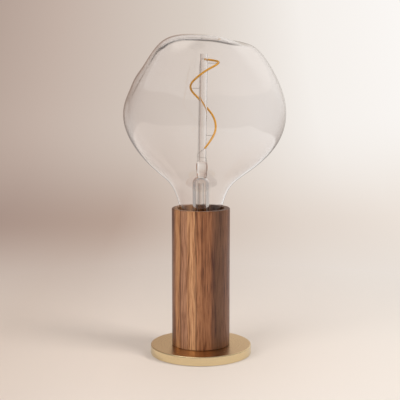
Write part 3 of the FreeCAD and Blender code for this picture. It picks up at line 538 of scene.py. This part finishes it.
brass, tree, shader = surface("brushed_brass", Metallic=1.0, Roughness=0.3, Anisotropic=0.35)
spot = add(tree, "SeparateXYZ", {"Vector": add(tree, "TexCoord").outputs["Object"]})
squares = [add(tree, "Math", {0: spot.outputs[axis], 1: 2.0}, operation="POWER")
           for axis in "XY"]
squared = add(tree, "Math", {0: squares[0].outputs["Value"], 1: squares[1].outputs["Value"]},
              operation="ADD")
reach = add(tree, "Math", {0: squared.outputs["Value"], 1: 0.5}, operation="POWER")
rings_at = add(tree, "CombineXYZ", {"X": reach.outputs["Value"], "Y": spot.outputs["Z"]})
rings = add(tree, "TexNoise", {
    "Vector": rings_at.outputs["Vector"], "Scale": 1 / (RING_PITCH_MM * MM), "Detail": 2.0,
    "Roughness": 0.6})
face_tint = ramp(tree, rings.outputs["Fac"], [(0.3, "#DDBD8C"), (0.7, "#E8CB9C")])
# the edge is polished after the face is brushed, so it is sharper; its paler tint is partly the
# polish and partly painted sheen that brightens the rim
on_face = add(tree, "MapRange", {
    "Value": spot.outputs["Z"], "From Min": (DISC_TOP_MM - POLISH_FULL_MM) * MM,
    "From Max": (DISC_TOP_MM - POLISH_STARTS_MM) * MM}).outputs["Result"]
tint = add(tree, "Mix", {"Factor": on_face, "A": linear("#E8D6AE"), "B": face_tint},
           data_type="RGBA")
tree.links.new(tint.outputs["Result"], shader.inputs["Base Color"])
satin = add(tree, "MapRange", {
    "Value": rings.outputs["Fac"], "From Min": 0.3, "From Max": 0.7,
    "To Min": SATIN_ROUGHNESS[0], "To Max": SATIN_ROUGHNESS[1]})
finish = add(tree, "Mix", {
    "Factor": on_face, "A": POLISHED_ROUGHNESS, "B": satin.outputs["Result"]},
    data_type="FLOAT")
tree.links.new(finish.outputs["Result"], shader.inputs["Roughness"])
scratches = add(tree, "Bump", {
    "Height": rings.outputs["Fac"], "Strength": 0.05, "Distance": 0.05 * MM})
tree.links.new(scratches.outputs["Normal"], shader.inputs["Normal"])
dress(disc, brass, "lamp_base", ["base_disc"])
print("brass dressed")

# %% [markdown]
# ## Blown glass
#
# The bulb is blown into a loose mould and then pressed here and there while soft, so no two
# sections of it are the same. A sculpted mesh would do, but a formula is easier to steer: a
# smooth outline from the seal to the crown, turned about the axis, with soft round pushes where
# the glass was dented or drawn out. A cubic spline surface laid over that net is smooth in
# every direction, which glass needs, because its reflections show every kink. The wall is a
# real one, with an outer and an inner skin, so each view through it has all its reflections.

# %% Net of the glass
OUTLINE_MM = [
    (12.0, 118.0), (12.0, 134.0), (21.5, 160.0), (27.2, 187.0), (38.2, 205.0), (65.7, 221.2),
    (91.8, 255.5), (103.9, 303.5), (73.5, 374.6), (51.0, 386.8), (27.0, 386.1), (0.0, 386.1)]
# azimuth in degrees, then reach, height, width and depth: a negative depth swells the wall
DENTS_MM = [
    (180, 80, 335, 48, 9.5), (0, 37.4, 374, 45, 31.4), (180, 49.4, 368, 35, 45.9),
    (180, 95, 285, 48, 3.5), (12, 89.6, 342.2, 38, -18.6), (0, 77.7, 332.8, 34, 14.1),
    (-35, 85, 345, 34, 14.3), (0, 55, 352, 30, -8.8), (0, 90, 245, 36, -7.3),
    (0, 62, 218, 34, 5.5), (180, 62, 218, 34, 6.3), (180, 70, 240, 34, 2.0),
    (-90, 96, 320, 48, 4.0), (-90, 90, 254, 45, -4.0), (90, 96, 320, 48, 3.0),
    (90, 90, 254, 45, -3.0), (-100, 85, 262, 40, 5.0), (75, 85, 318, 45, 6.0),
    (-45, 88, 305, 36, 4.0), (-150, 90, 282, 30, 4.0), (120, 80, 255, 40, 4.0),
    (-95, 50, 368, 30, 3.0)]
WALL_MM = 1.2
NET_COLUMNS = 24
ROUND_STATIONS = 4       # stations above the seal that no dent reaches


def outline_normals(outline):
    """The outward normal at each station, from its neighbours."""
    poles = np.array(outline)
    chord = np.vstack([poles[1:], poles[-1:]]) - np.vstack([poles[:1], poles[:-1]])
    normals = np.stack([chord[:, 1], -chord[:, 0]], axis=1)
    normals /= np.linalg.norm(normals, axis=1, keepdims=True)
    normals[:2] = (1.0, 0.0)
    normals[-2:] = (0.0, 1.0)
    return normals


def glass_net(inset):
    """Poles of one skin, by station and column, in millimetres."""
    angles = 2 * np.pi * np.arange(NET_COLUMNS) / NET_COLUMNS
    swell = 3 / (2 + math.cos(2 * math.pi / NET_COLUMNS))
    normals = outline_normals(OUTLINE_MM)
    net = np.zeros((len(OUTLINE_MM), NET_COLUMNS, 3))
    for station, (reach, height) in enumerate(OUTLINE_MM):
        x, y = reach * np.cos(angles), reach * np.sin(angles)
        push = np.full(NET_COLUMNS, inset)
        for azimuth, far, level, width, deep in DENTS_MM if station >= ROUND_STATIONS else ():
            turn = math.radians(azimuth)
            gap = (x - far * math.cos(turn)) ** 2 + (y - far * math.sin(turn)) ** 2
            push = push + deep * np.exp(-(gap + (height - level) ** 2) / width ** 2)
        radius = swell * (reach - push * normals[station, 0])
        net[station, :, 0] = radius * np.cos(angles)
        net[station, :, 1] = radius * np.sin(angles)
        net[station, :, 2] = height - push * normals[station, 1]
    # the last ring is laid in one tilted plane with the crown's pole, so no peak is left there
    crown = net[-2]
    level, radius = crown[:, 2].mean(), np.hypot(crown[0, 0], crown[0, 1])
    tilt_x = 2 * (crown[:, 2] * np.cos(angles)).mean() / radius
    tilt_y = 2 * (crown[:, 2] * np.sin(angles)).mean() / radius
    crown[:, 2] = level + tilt_x * crown[:, 0] + tilt_y * crown[:, 1]
    net[-1] = (0.0, 0.0, level)
    return net


print("net of", len(OUTLINE_MM), "stations and", NET_COLUMNS, "columns")

# %% Spline weights
def clamped_weights(poles, samples):
    """Weights of a cubic spline that starts and ends on its poles: samples by poles."""
    spans = poles - 3
    knots = np.array([0.0] * 3 + list(np.linspace(0, 1, spans + 1)) + [1.0] * 3)
    at = np.linspace(0, 1 - 1e-9, samples)[:, None]
    weights = ((knots[:-1] <= at) & (at < knots[1:])).astype(float)
    for degree in (1, 2, 3):
        low = knots[:-degree - 1]
        rise = knots[degree:-1] - low
        fall = knots[degree + 1:] - knots[1:-degree]
        up = np.where(rise > 0, (at - low) / np.where(rise > 0, rise, 1), 0)
        down = np.where(fall > 0, (knots[degree + 1:] - at) / np.where(fall > 0, fall, 1), 0)
        weights = up * weights[:, :-1] + down * weights[:, 1:]
    return weights


def round_weights(poles, samples):
    """Weights of a cubic spline that closes on itself: samples by poles."""
    weights = np.zeros((samples, poles))
    for row in range(samples):
        pole, part = divmod(row * poles / samples, 1)
        for offset, weight in enumerate((
                (1 - part) ** 3, 3 * part ** 3 - 6 * part ** 2 + 4,
                1 + 3 * part + 3 * part ** 2 - 3 * part ** 3, part ** 3)):
            weights[row, (int(pole) + offset - 1) % poles] += weight / 6
    return weights


check = clamped_weights(12, 5).sum(axis=1)
print("weights add up to", np.round(check, 6))

# %% Skins of the glass
GLASS_ROWS = 160
GLASS_STEPS = 208
RIPPLE_MIDDLE_MM = (0.0, 0.0, 285.0)     # ripples are pushed straight to it or from it
# azimuth in degrees, then reach, height, width and depth: small marks left by the tools
RIPPLES_MM = [
    (-56, 97, 268, 14, 1.8), (-56, 97, 268, 22, -1.3), (-112, 92, 276, 22, -2.2),
    (-134, 92, 268, 20, 2.2), (-95, 95, 270, 20, 1.3), (-75, 95, 276, 18, -1.0),
    (-158, 86, 292, 16, 2.0), (170, 80, 318, 18, 1.8), (-166, 76, 330, 14, -1.6),
    (-25, 94, 300, 20, 1.2), (20, 96, 262, 18, -1.0), (78, 93, 300, 24, 1.8),
    (100, 92, 285, 22, -1.4), (-90, 96, 316, 40, 2.6), (0, 4, 370, 26, -6.0),
    (180, 45, 362, 18, -6.0), (180, 20, 368, 20, -5.0)]


def glass_skin(inset):
    """One skin as rows of points, in metres."""
    up = clamped_weights(len(OUTLINE_MM), GLASS_ROWS)
    around = round_weights(NET_COLUMNS, GLASS_STEPS)
    skin = np.einsum("rs,scx,kc->rkx", up, glass_net(inset), around)
    outward = skin - np.array(RIPPLE_MIDDLE_MM)
    outward /= np.linalg.norm(outward, axis=2, keepdims=True)
    for azimuth, reach, level, width, deep in RIPPLES_MM:
        turn = math.radians(azimuth)
        middle = np.array((reach * math.cos(turn), reach * math.sin(turn), level))
        gap = ((skin - middle) ** 2).sum(axis=2, keepdims=True)
        skin = skin - outward * deep * np.exp(-gap / width ** 2)
    return skin * MM


def glass_mesh(name, outer, inner):
    """A closed wall between two skins, joined at the mouth and closed at the crown."""
    rows, steps = outer.shape[:2]
    points = np.vstack([outer[:-1].reshape(-1, 3), outer[-1, :1],
                        inner[:-1].reshape(-1, 3), inner[-1, :1]])
    skin_size = (rows - 1) * steps + 1
    faces = grid_faces(rows - 1, steps)
    faces += [face[::-1] for face in grid_faces(rows - 1, steps, skin_size)]
    for step in range(steps):
        after = (step + 1) % steps
        ring = (rows - 2) * steps
        faces.append((ring + step, ring + after, skin_size - 1))
        faces.append((skin_size + ring + after, skin_size + ring + step, 2 * skin_size - 1))
        faces.append((step, skin_size + step, skin_size + after, after))
    return mesh_piece(name, points, faces, sharp_degrees=60)


bulb_glass = glass_mesh("blown_glass", glass_skin(0.0), glass_skin(WALL_MM))
print("glass points:", len(bulb_glass.data.vertices))

# %% [markdown]
# ## Clear glass
#
# Soda lime glass, blown and fire polished: no colour in a wall this thin, an IOR of 1.5 and a
# surface as smooth as liquid. Where the wall is seen edge on, its colour is darkened to grey:
# that is painted shade, standing in for the dim room that the edges mirror, and that line is what
# draws a clear bulb. A renderer that traces light back from the eye can't find lamps through
# glass, so shadow rays pass straight through with a small loss. That leaves the faint, even
# shadow that a clear bulb really casts.

# %% Glass material
GLASS_IOR = 1.5
EDGE_PLACES = (0.80, 0.90, 0.96)     # 0 is seen face on, 1 is seen edge on


def clear_glass(name, face_tint, edge_shade, deepest_edge_shade, shadow_tint):
    """Transmitting glass that lets light through to what stands behind it, with painted edge
    shade.
    """
    made, tree, shader = surface(name, Transmission_Weight=1.0, Roughness=0.0, IOR=GLASS_IOR)
    edge_on = add(tree, "LayerWeight", {"Blend": 0.5})
    # painted shade: the base colour turns grey, then dark, as the wall is seen more edge on
    tint_and_edge_shade = ramp(tree, edge_on.outputs["Facing"],
                     list(zip(EDGE_PLACES, (face_tint, edge_shade, deepest_edge_shade))))
    tree.links.new(tint_and_edge_shade, shader.inputs["Base Color"])
    ray = add(tree, "LightPath")
    shadow = add(tree, "BsdfTransparent", {"Color": linear(shadow_tint)})
    mixed = add(tree, "MixShader", {
        0: ray.outputs["Is Shadow Ray"], 1: shader.outputs["BSDF"],
        2: shadow.outputs["BSDF"]})
    tree.links.new(mixed.outputs["Shader"], tree.nodes["Material Output"].inputs["Surface"])
    return made


# painted shade: mid and dark greys on the bulb's wall where it is seen edge on
blown = clear_glass("blown_soda_lime_glass", "#FEFDFD", "#CFC9C4", "#7E7873", "#F4F2EE")
dress(bulb_glass, blown, "bulb", ["glass_envelope"])
print("bulb's far corner, mm:", [round(side / MM, 1) for side in bulb_glass.bound_box[6]])

# %% [markdown]
# ## Glass mount
#
# Inside the neck stands the mount that all such bulbs have: a drawn flare tube whose top is
# heated and pinched flat round the two lead wires, an exhaust tube inside it, and here a long
# clear rod that carries the filament. The tube's shoulder is soft, and the pinch is a squeezed
# block with rounded sides, so both are shaped by sections rather than cut.

# %% Flare tube
FLARE_FOOT_MM = 118.3
FLARE_WAIST_MM = 122.5
FLARE_TOP_MM = 212.0
FLARE_RIM_MM = 10.7
FLARE_RADIUS_MM = 9.75
FLARE_WALL_MM = 0.5
SHOULDER_MM = 7.0

flare = turned("flare_glass", [
    (AXIS_RADIUS_MM, FLARE_TOP_MM),
    *reversed(list(arc((FLARE_RADIUS_MM - SHOULDER_MM, FLARE_TOP_MM - SHOULDER_MM),
                       SHOULDER_MM, 0, 90, 10))),
    (FLARE_RADIUS_MM, FLARE_WAIST_MM), (FLARE_RIM_MM, FLARE_FOOT_MM),
    (FLARE_RIM_MM - FLARE_WALL_MM, FLARE_FOOT_MM),
    (FLARE_RADIUS_MM - FLARE_WALL_MM, FLARE_WAIST_MM),
    *arc((FLARE_RADIUS_MM - SHOULDER_MM, FLARE_TOP_MM - SHOULDER_MM),
         SHOULDER_MM - FLARE_WALL_MM, 0, 90, 10),
    (AXIS_RADIUS_MM, FLARE_TOP_MM - FLARE_WALL_MM)], steps=96)
# painted shade at the tube's edges, lighter than the bulb's
mount_glass = clear_glass("drawn_tube_glass", "#FEFDFC", "#F0EDE9", "#DCD7D2", "#ECE8E2")
dress(flare, mount_glass, "bulb", ["flare_tube"])
print("flare rim, mm:", FLARE_RIM_MM)

# %% Pinch
PINCH_SHIFT_MM = 1.2     # it stands a little to the right of the axis
PINCH_STEPS = 48
PINCH_POWER = 0.6        # 1 is an ellipse, and less than 1 has flatter faces and rounded sides
# (height, width, depth): drawn in above the shoulder, full where the tool closed
PINCH_SECTIONS_MM = [
    (210.6, 10.5, 6.6), (212.6, 8.6, 6.0), (214.6, 9.4, 5.4), (217.5, 12.2, 4.8),
    (222.0, 13.2, 4.6), (226.0, 13.0, 5.2), (228.4, 12.0, 6.0), (229.5, 10.4, 5.6),
    (230.0, 8.0, 4.4)]


def squared_off(share):
    """A cosine or sine drawn out towards 1 or -1, with its sign kept."""
    return math.copysign(abs(share) ** PINCH_POWER, share)


pinch_points = []
for height, wide, deep in PINCH_SECTIONS_MM:
    for step in range(PINCH_STEPS):
        turn = 2 * math.pi * step / PINCH_STEPS
        across = squared_off(math.cos(turn)) * wide / 2
        out = squared_off(math.sin(turn)) * deep / 2
        pinch_points.append(((PINCH_SHIFT_MM + across) * MM, out * MM, height * MM))
pinch_faces = grid_faces(len(PINCH_SECTIONS_MM), PINCH_STEPS)
pinch_faces.append(tuple(reversed(range(PINCH_STEPS))))
pinch_faces.append(tuple(range(len(pinch_points) - PINCH_STEPS, len(pinch_points))))
pinch = mesh_piece("pinch_glass", pinch_points, pinch_faces, sharp_degrees=70)
dress(pinch, mount_glass, "bulb", [])
paint(mount_glass, "exhaust_tube", "support_rod")

# %% [markdown]
# ## Filament
#
# A flexible LED filament is a thin strip of tiny diodes cast in amber phosphor silicone. It
# winds once and a half round the rod, held off it by hair thin wires. It is drawn as one smooth
# curve: the route's points steer it, and it cuts their corners evenly, as the real strip does.

# %% Filament curve
ROD_FOOT_SHIFT_MM = 1.7
ROD_FOOT_MM = 230.2
ROD_LEAN_DEGREES = 0.92
# azimuth in degrees, then reach from the rod and height
FILAMENT_ROUTE = [
    (84, 6.8, 348.6), (50, 13.0, 347.8), (10, 18.5, 345.8), (-32, 17.5, 342.3),
    (-75, 13.5, 336.5), (-120, 13.5, 329.0), (-165, 16.0, 320.5), (-205, 16.5, 312.5),
    (-246, 13.0, 303.0), (-290, 12.5, 292.5), (-330, 15.5, 281.0), (-367, 16.0, 267.5),
    (-405, 13.5, 255.0), (-433, 8.5, 246.0)]
FILAMENT_DIA_MM = 2.4


def rod_across(height_mm):
    """How far across the leaning rod is at a height."""
    return ROD_FOOT_SHIFT_MM + (height_mm - ROD_FOOT_MM) * math.tan(
        math.radians(ROD_LEAN_DEGREES))


def smooth_wires(name, routes_mm, diameter_mm, sides=4):
    """Round wires, each along a smooth curve that its points steer."""
    curve = bpy.data.curves.new(name, "CURVE")
    curve.dimensions = "3D"
    curve.bevel_depth = diameter_mm / 2 * MM
    curve.bevel_resolution = sides
    curve.use_fill_caps = True
    curve.resolution_u = 12
    for points_mm in routes_mm:
        spline = curve.splines.new("NURBS")
        spline.points.add(len(points_mm) - 1)
        for point, place in zip(spline.points, points_mm):
            point.co = (*(value * MM for value in place), 1.0)
        spline.order_u = 3
        spline.use_endpoint_u = True
    wire = bpy.data.objects.new(name, curve)
    bpy.context.scene.collection.objects.link(wire)
    return wire


filament_points = []
for azimuth, far, height in FILAMENT_ROUTE:
    turn = math.radians(azimuth)
    filament_points.append((rod_across(height) + far * math.cos(turn), far * math.sin(turn),
                            height))
filament = smooth_wires("amber_filament", [filament_points], FILAMENT_DIA_MM)
print("filament points:", len(filament_points))

# %% Phosphor silicone
SPECK_MM = 1.2           # grains of phosphor are finer, and this is how they gather
phosphor, tree, shader = surface("amber_phosphor_silicone", Roughness=0.45, IOR=1.41,
                                 Specular_IOR_Level=0.3, Emission_Strength=0.10)
speck = add(tree, "TexNoise", {
    "Vector": add(tree, "TexCoord").outputs["Object"], "Scale": 1 / (SPECK_MM * MM),
    "Detail": 1.0})
amber = ramp(tree, speck.outputs["Fac"], [(0.3, "#BE851E"), (0.7, "#CF9832")])
tree.links.new(amber, shader.inputs["Base Color"])
# painted light: the unlit filament is given a faint glow in its amber colour
tree.links.new(amber, shader.inputs["Emission Color"])
dress(filament, phosphor, "bulb", ["led_filament"])
print("filament dressed")

# %% [markdown]
# ## Wires in the bulb
#
# Nickel wire is grey and a little dull from the heat of sealing. It is so thin that only its
# tone shows, but it draws the long dark line beside the rod. Where a lead runs through the pinch
# it is copper clad, so that the glass can seal to it.

# %% Lead wires
LEAD_WIRE_DIA_MM = 0.35
TAB_DIA_MM = 0.5
HEAT_CLOUD_MM = 9.0
LEAD_ROUTES_MM = [
    [(-4.3, 0.0, 108.2), (-4.3, 0.0, 232.0), (-3.2, 0.0, 238.0), (-1.75, 0.0, 330.0),
     (-1.2, 1.5, 345.5), (0.2, 4.6, 349.2), (1.2, 5.8, 349.2)],
    [(6.7, 0.0, 108.2), (6.7, 0.0, 232.0), (6.7, -3.6, 234.2), (2.6, -6.4, 235.2),
     (-3.0, -6.4, 235.8), (-5.2, -4.2, 236.8), (-4.0, -3.0, 238.9), (-1.6, -4.6, 241.2)]]
TAB_ROUTES_MM = [[(1.2, 5.8, 349.2), (2.6, 6.2, 349.0), (4.2, 6.4, 348.7)],
                 [(-1.6, -4.6, 241.2), (1.4, -6.2, 243.4), (4.4, -8.0, 246.0)]]

nickel_wire, tree, shader = surface("drawn_nickel_wire", Metallic=1.0, Roughness=0.42)
heat = add(tree, "TexNoise", {
    "Vector": add(tree, "TexCoord").outputs["Object"], "Scale": 1 / (HEAT_CLOUD_MM * MM),
    "Detail": 1.0})
tarnish = ramp(tree, heat.outputs["Fac"], [(0.35, "#A39B92"), (0.65, "#C2BBB2")])
tree.links.new(tarnish, shader.inputs["Base Color"])
dress(smooth_wires("bulb_lead_wires", LEAD_ROUTES_MM, LEAD_WIRE_DIA_MM, sides=2),
      nickel_wire, "bulb", ["lead_wires"])
dress(smooth_wires("filament_tabs", TAB_ROUTES_MM, TAB_DIA_MM, sides=2),
      nickel_wire, "bulb", ["filament_end_caps"])
paint(nickel_wire, "support_wires")

# %% Copper clad leads in the pinch
SEAL_WIRE_DIA_MM = 0.8
SEAL_PLACES_MM = (-4.3, 6.7)
SEAL_HEIGHTS_MM = (213.0, 221.0, 229.0)
GLAZE_MM = 1.5

seal_routes_mm = [[(across, 0.0, height) for height in SEAL_HEIGHTS_MM]
                  for across in SEAL_PLACES_MM]
seal_wire, tree, shader = surface("borated_copper_sheath", Roughness=0.35, Metallic=1.0)
glaze = add(tree, "TexNoise", {
    "Vector": add(tree, "TexCoord").outputs["Object"], "Scale": 1 / (GLAZE_MM * MM),
    "Detail": 1.0})
tree.links.new(ramp(tree, glaze.outputs["Fac"], [(0.35, "#A8552E"), (0.65, "#D8924E")]),
               shader.inputs["Base Color"])
dress(smooth_wires("seal_wires", seal_routes_mm, SEAL_WIRE_DIA_MM, sides=2), seal_wire,
      "bulb", [])
print("wire diameters, mm:", LEAD_WIRE_DIA_MM, TAB_DIA_MM, SEAL_WIRE_DIA_MM)

# %% [markdown]
# ## The parts inside
#
# The lampholder, the screw cap, the dimmer and their fixings are hidden in the column, but a
# part that may be opened or cut away should not turn grey there. Most of them are moulded,
# cast or plated, and such finishes differ in colour, gloss and the size of their grain, so one
# function makes them all: a fine mottle of two close tones with the same grain in relief.

# %% A mottled finish
def mottled(name, dark, light, grain_mm, depth_mm, **values):
    """A surface of two close tones, with the same grain as a shallow relief."""
    made, tree, shader = surface(name, **values)
    grains = add(tree, "TexNoise", {
        "Vector": add(tree, "TexCoord").outputs["Object"], "Scale": 1 / (grain_mm * MM),
        "Detail": 2.0, "Roughness": 0.6})
    tree.links.new(ramp(tree, grains.outputs["Fac"], [(0.35, dark), (0.65, light)]),
                   shader.inputs["Base Color"])
    relief = add(tree, "Bump", {
        "Height": grains.outputs["Fac"], "Strength": 0.5, "Distance": depth_mm * MM})
    tree.links.new(relief.outputs["Normal"], shader.inputs["Normal"])
    return made


# %% Moulded, fired and cast finishes
# closed-cell foam: matt black, with the cut cells just visible
paint(mottled("eva_foam_cut", "#17171A", "#242427", 0.8, 0.15, Roughness=0.92, IOR=1.45),
      "base_pad")
# moulded rubber: dark grey rather than black where light grazes it
paint(mottled("moulded_black_rubber", "#161514", "#201F1E", 1.2, 0.03, Roughness=0.62,
              IOR=1.52), "cord_grommet")
# polycarbonate from a spark eroded mould: white with a fine even matt grain
paint(mottled("moulded_white_polycarbonate", "#E2E1DC", "#EBEAE6", 0.5, 0.02, Roughness=0.48,
              IOR=1.58), "dimmer_case", "dimmer_lid", "supply_terminal_block")
# phenolic resin, pressed in a polished mould: black, hard and shiny
paint(mottled("pressed_black_phenolic", "#131212", "#1C1A1A", 2.5, 0.01, Roughness=0.26,
              IOR=1.60), "lampholder_dome", "lampholder_sleeve")
# steatite, fired without glaze: chalky off-white with a few darker specks
paint(mottled("unglazed_steatite", "#D3C8B4", "#E0D8C8", 0.9, 0.03, Roughness=0.72, IOR=1.59),
      "lampholder_core")
# insulating glass, poured molten into the cap: nearly black and glossy
paint(mottled("poured_black_glass", "#0C0C10", "#14141A", 3.0, 0.01, Roughness=0.10,
              IOR=1.52), "cap_insulator")
# basing cement, baked: pale, dull and gritty
paint(mottled("baked_basing_cement", "#BDB39D", "#CFC7B4", 0.7, 0.08, Roughness=0.95,
              IOR=1.50), "basing_cement")
# epoxy bodies of the parts on the boards
paint(mottled("moulded_epoxy_bodies", "#1A1A1D", "#26262A", 0.6, 0.02, Roughness=0.55,
              IOR=1.55), "dimmer_parts", "driver_parts")
# silicone insulation, extruded: soft satin, one colour to a lead
for colour, dark, light, node in (("brown", "#4A2A17", "#57331E", "live_lead"),
                                  ("blue", "#1B477F", "#225391", "neutral_lead"),
                                  ("white", "#D9D8D2", "#E4E3DE", "touch_lead")):
    paint(mottled(f"extruded_{colour}_silicone", dark, light, 1.5, 0.02, Roughness=0.45,
                  IOR=1.41), node)

# %% Plated and rolled metals
# zinc plated steel: cool grey, with a faint cloud in the passivated layer
paint(mottled("zinc_plated_steel", "#A7ABAE", "#BEC1C2", 2.0, 0.01, Metallic=1.0,
              Roughness=0.34),
      "column_screws", "case_screws", "touch_screw", "terminal_screws", "nipple_nut",
      "nipple_washer")
# nickel plate over brass: bright and slightly yellow
paint(mottled("bright_nickel_plate", "#C2BCB0", "#D0CBC0", 4.0, 0.005, Metallic=1.0,
              Roughness=0.20), "cap_shell", "cap_tip_contact", "ring_terminal")
# brass strip, rolled hard for springs: smooth, yellower than the disc
paint(mottled("rolled_spring_brass", "#C29E5C", "#D2B272", 1.0, 0.01, Metallic=1.0,
              Roughness=0.30), "centre_contact", "side_contact")

# %% Threaded nipple
# the nipple has an M10 x 1 thread over its whole length: fine rings, one each millimetre
THREAD_PITCH_MM = 1.0
THREAD_DEPTH_MM = 0.5
WAVE_LENGTH = 0.314      # between the bands of a wave texture whose scale is 1
thread_steel, tree, shader = surface("rolled_steel_thread", Metallic=1.0, Roughness=0.36)
crests = add(tree, "TexWave", {
    "Vector": add(tree, "TexCoord").outputs["Object"],
    "Scale": WAVE_LENGTH / (THREAD_PITCH_MM * MM)}, bands_direction="Z", wave_profile="TRI")
tree.links.new(ramp(tree, crests.outputs["Fac"], [(0.0, "#84888B"), (1.0, "#B8BCBE")]),
               shader.inputs["Base Color"])
groove = add(tree, "Bump", {
    "Height": crests.outputs["Fac"], "Strength": 1.0, "Distance": THREAD_DEPTH_MM * MM})
tree.links.new(groove.outputs["Normal"], shader.inputs["Normal"])
paint(thread_steel, "threaded_nipple")

# %% Circuit boards
# glass epoxy under green solder mask: copper tracks show as lighter lines
TRACK_PITCH_MM = 2.5
TRACK_HEIGHT_MM = 0.035
board, tree, shader = surface("solder_masked_glass_epoxy", Roughness=0.32, IOR=1.55)
tracks = add(tree, "TexBrick", {
    "Vector": add(tree, "TexCoord").outputs["Object"], "Scale": 1 / (TRACK_PITCH_MM * MM),
    "Color1": linear("#1F5A38"), "Color2": linear("#256442"), "Mortar": linear("#3C8A5C"),
    "Mortar Size": 0.06})
tree.links.new(tracks.outputs["Color"], shader.inputs["Base Color"])
raised = add(tree, "Bump", {
    "Height": tracks.outputs["Fac"], "Strength": 0.4, "Distance": TRACK_HEIGHT_MM * MM})
tree.links.new(raised.outputs["Normal"], shader.inputs["Normal"])
paint(board, "dimmer_board", "driver_board")
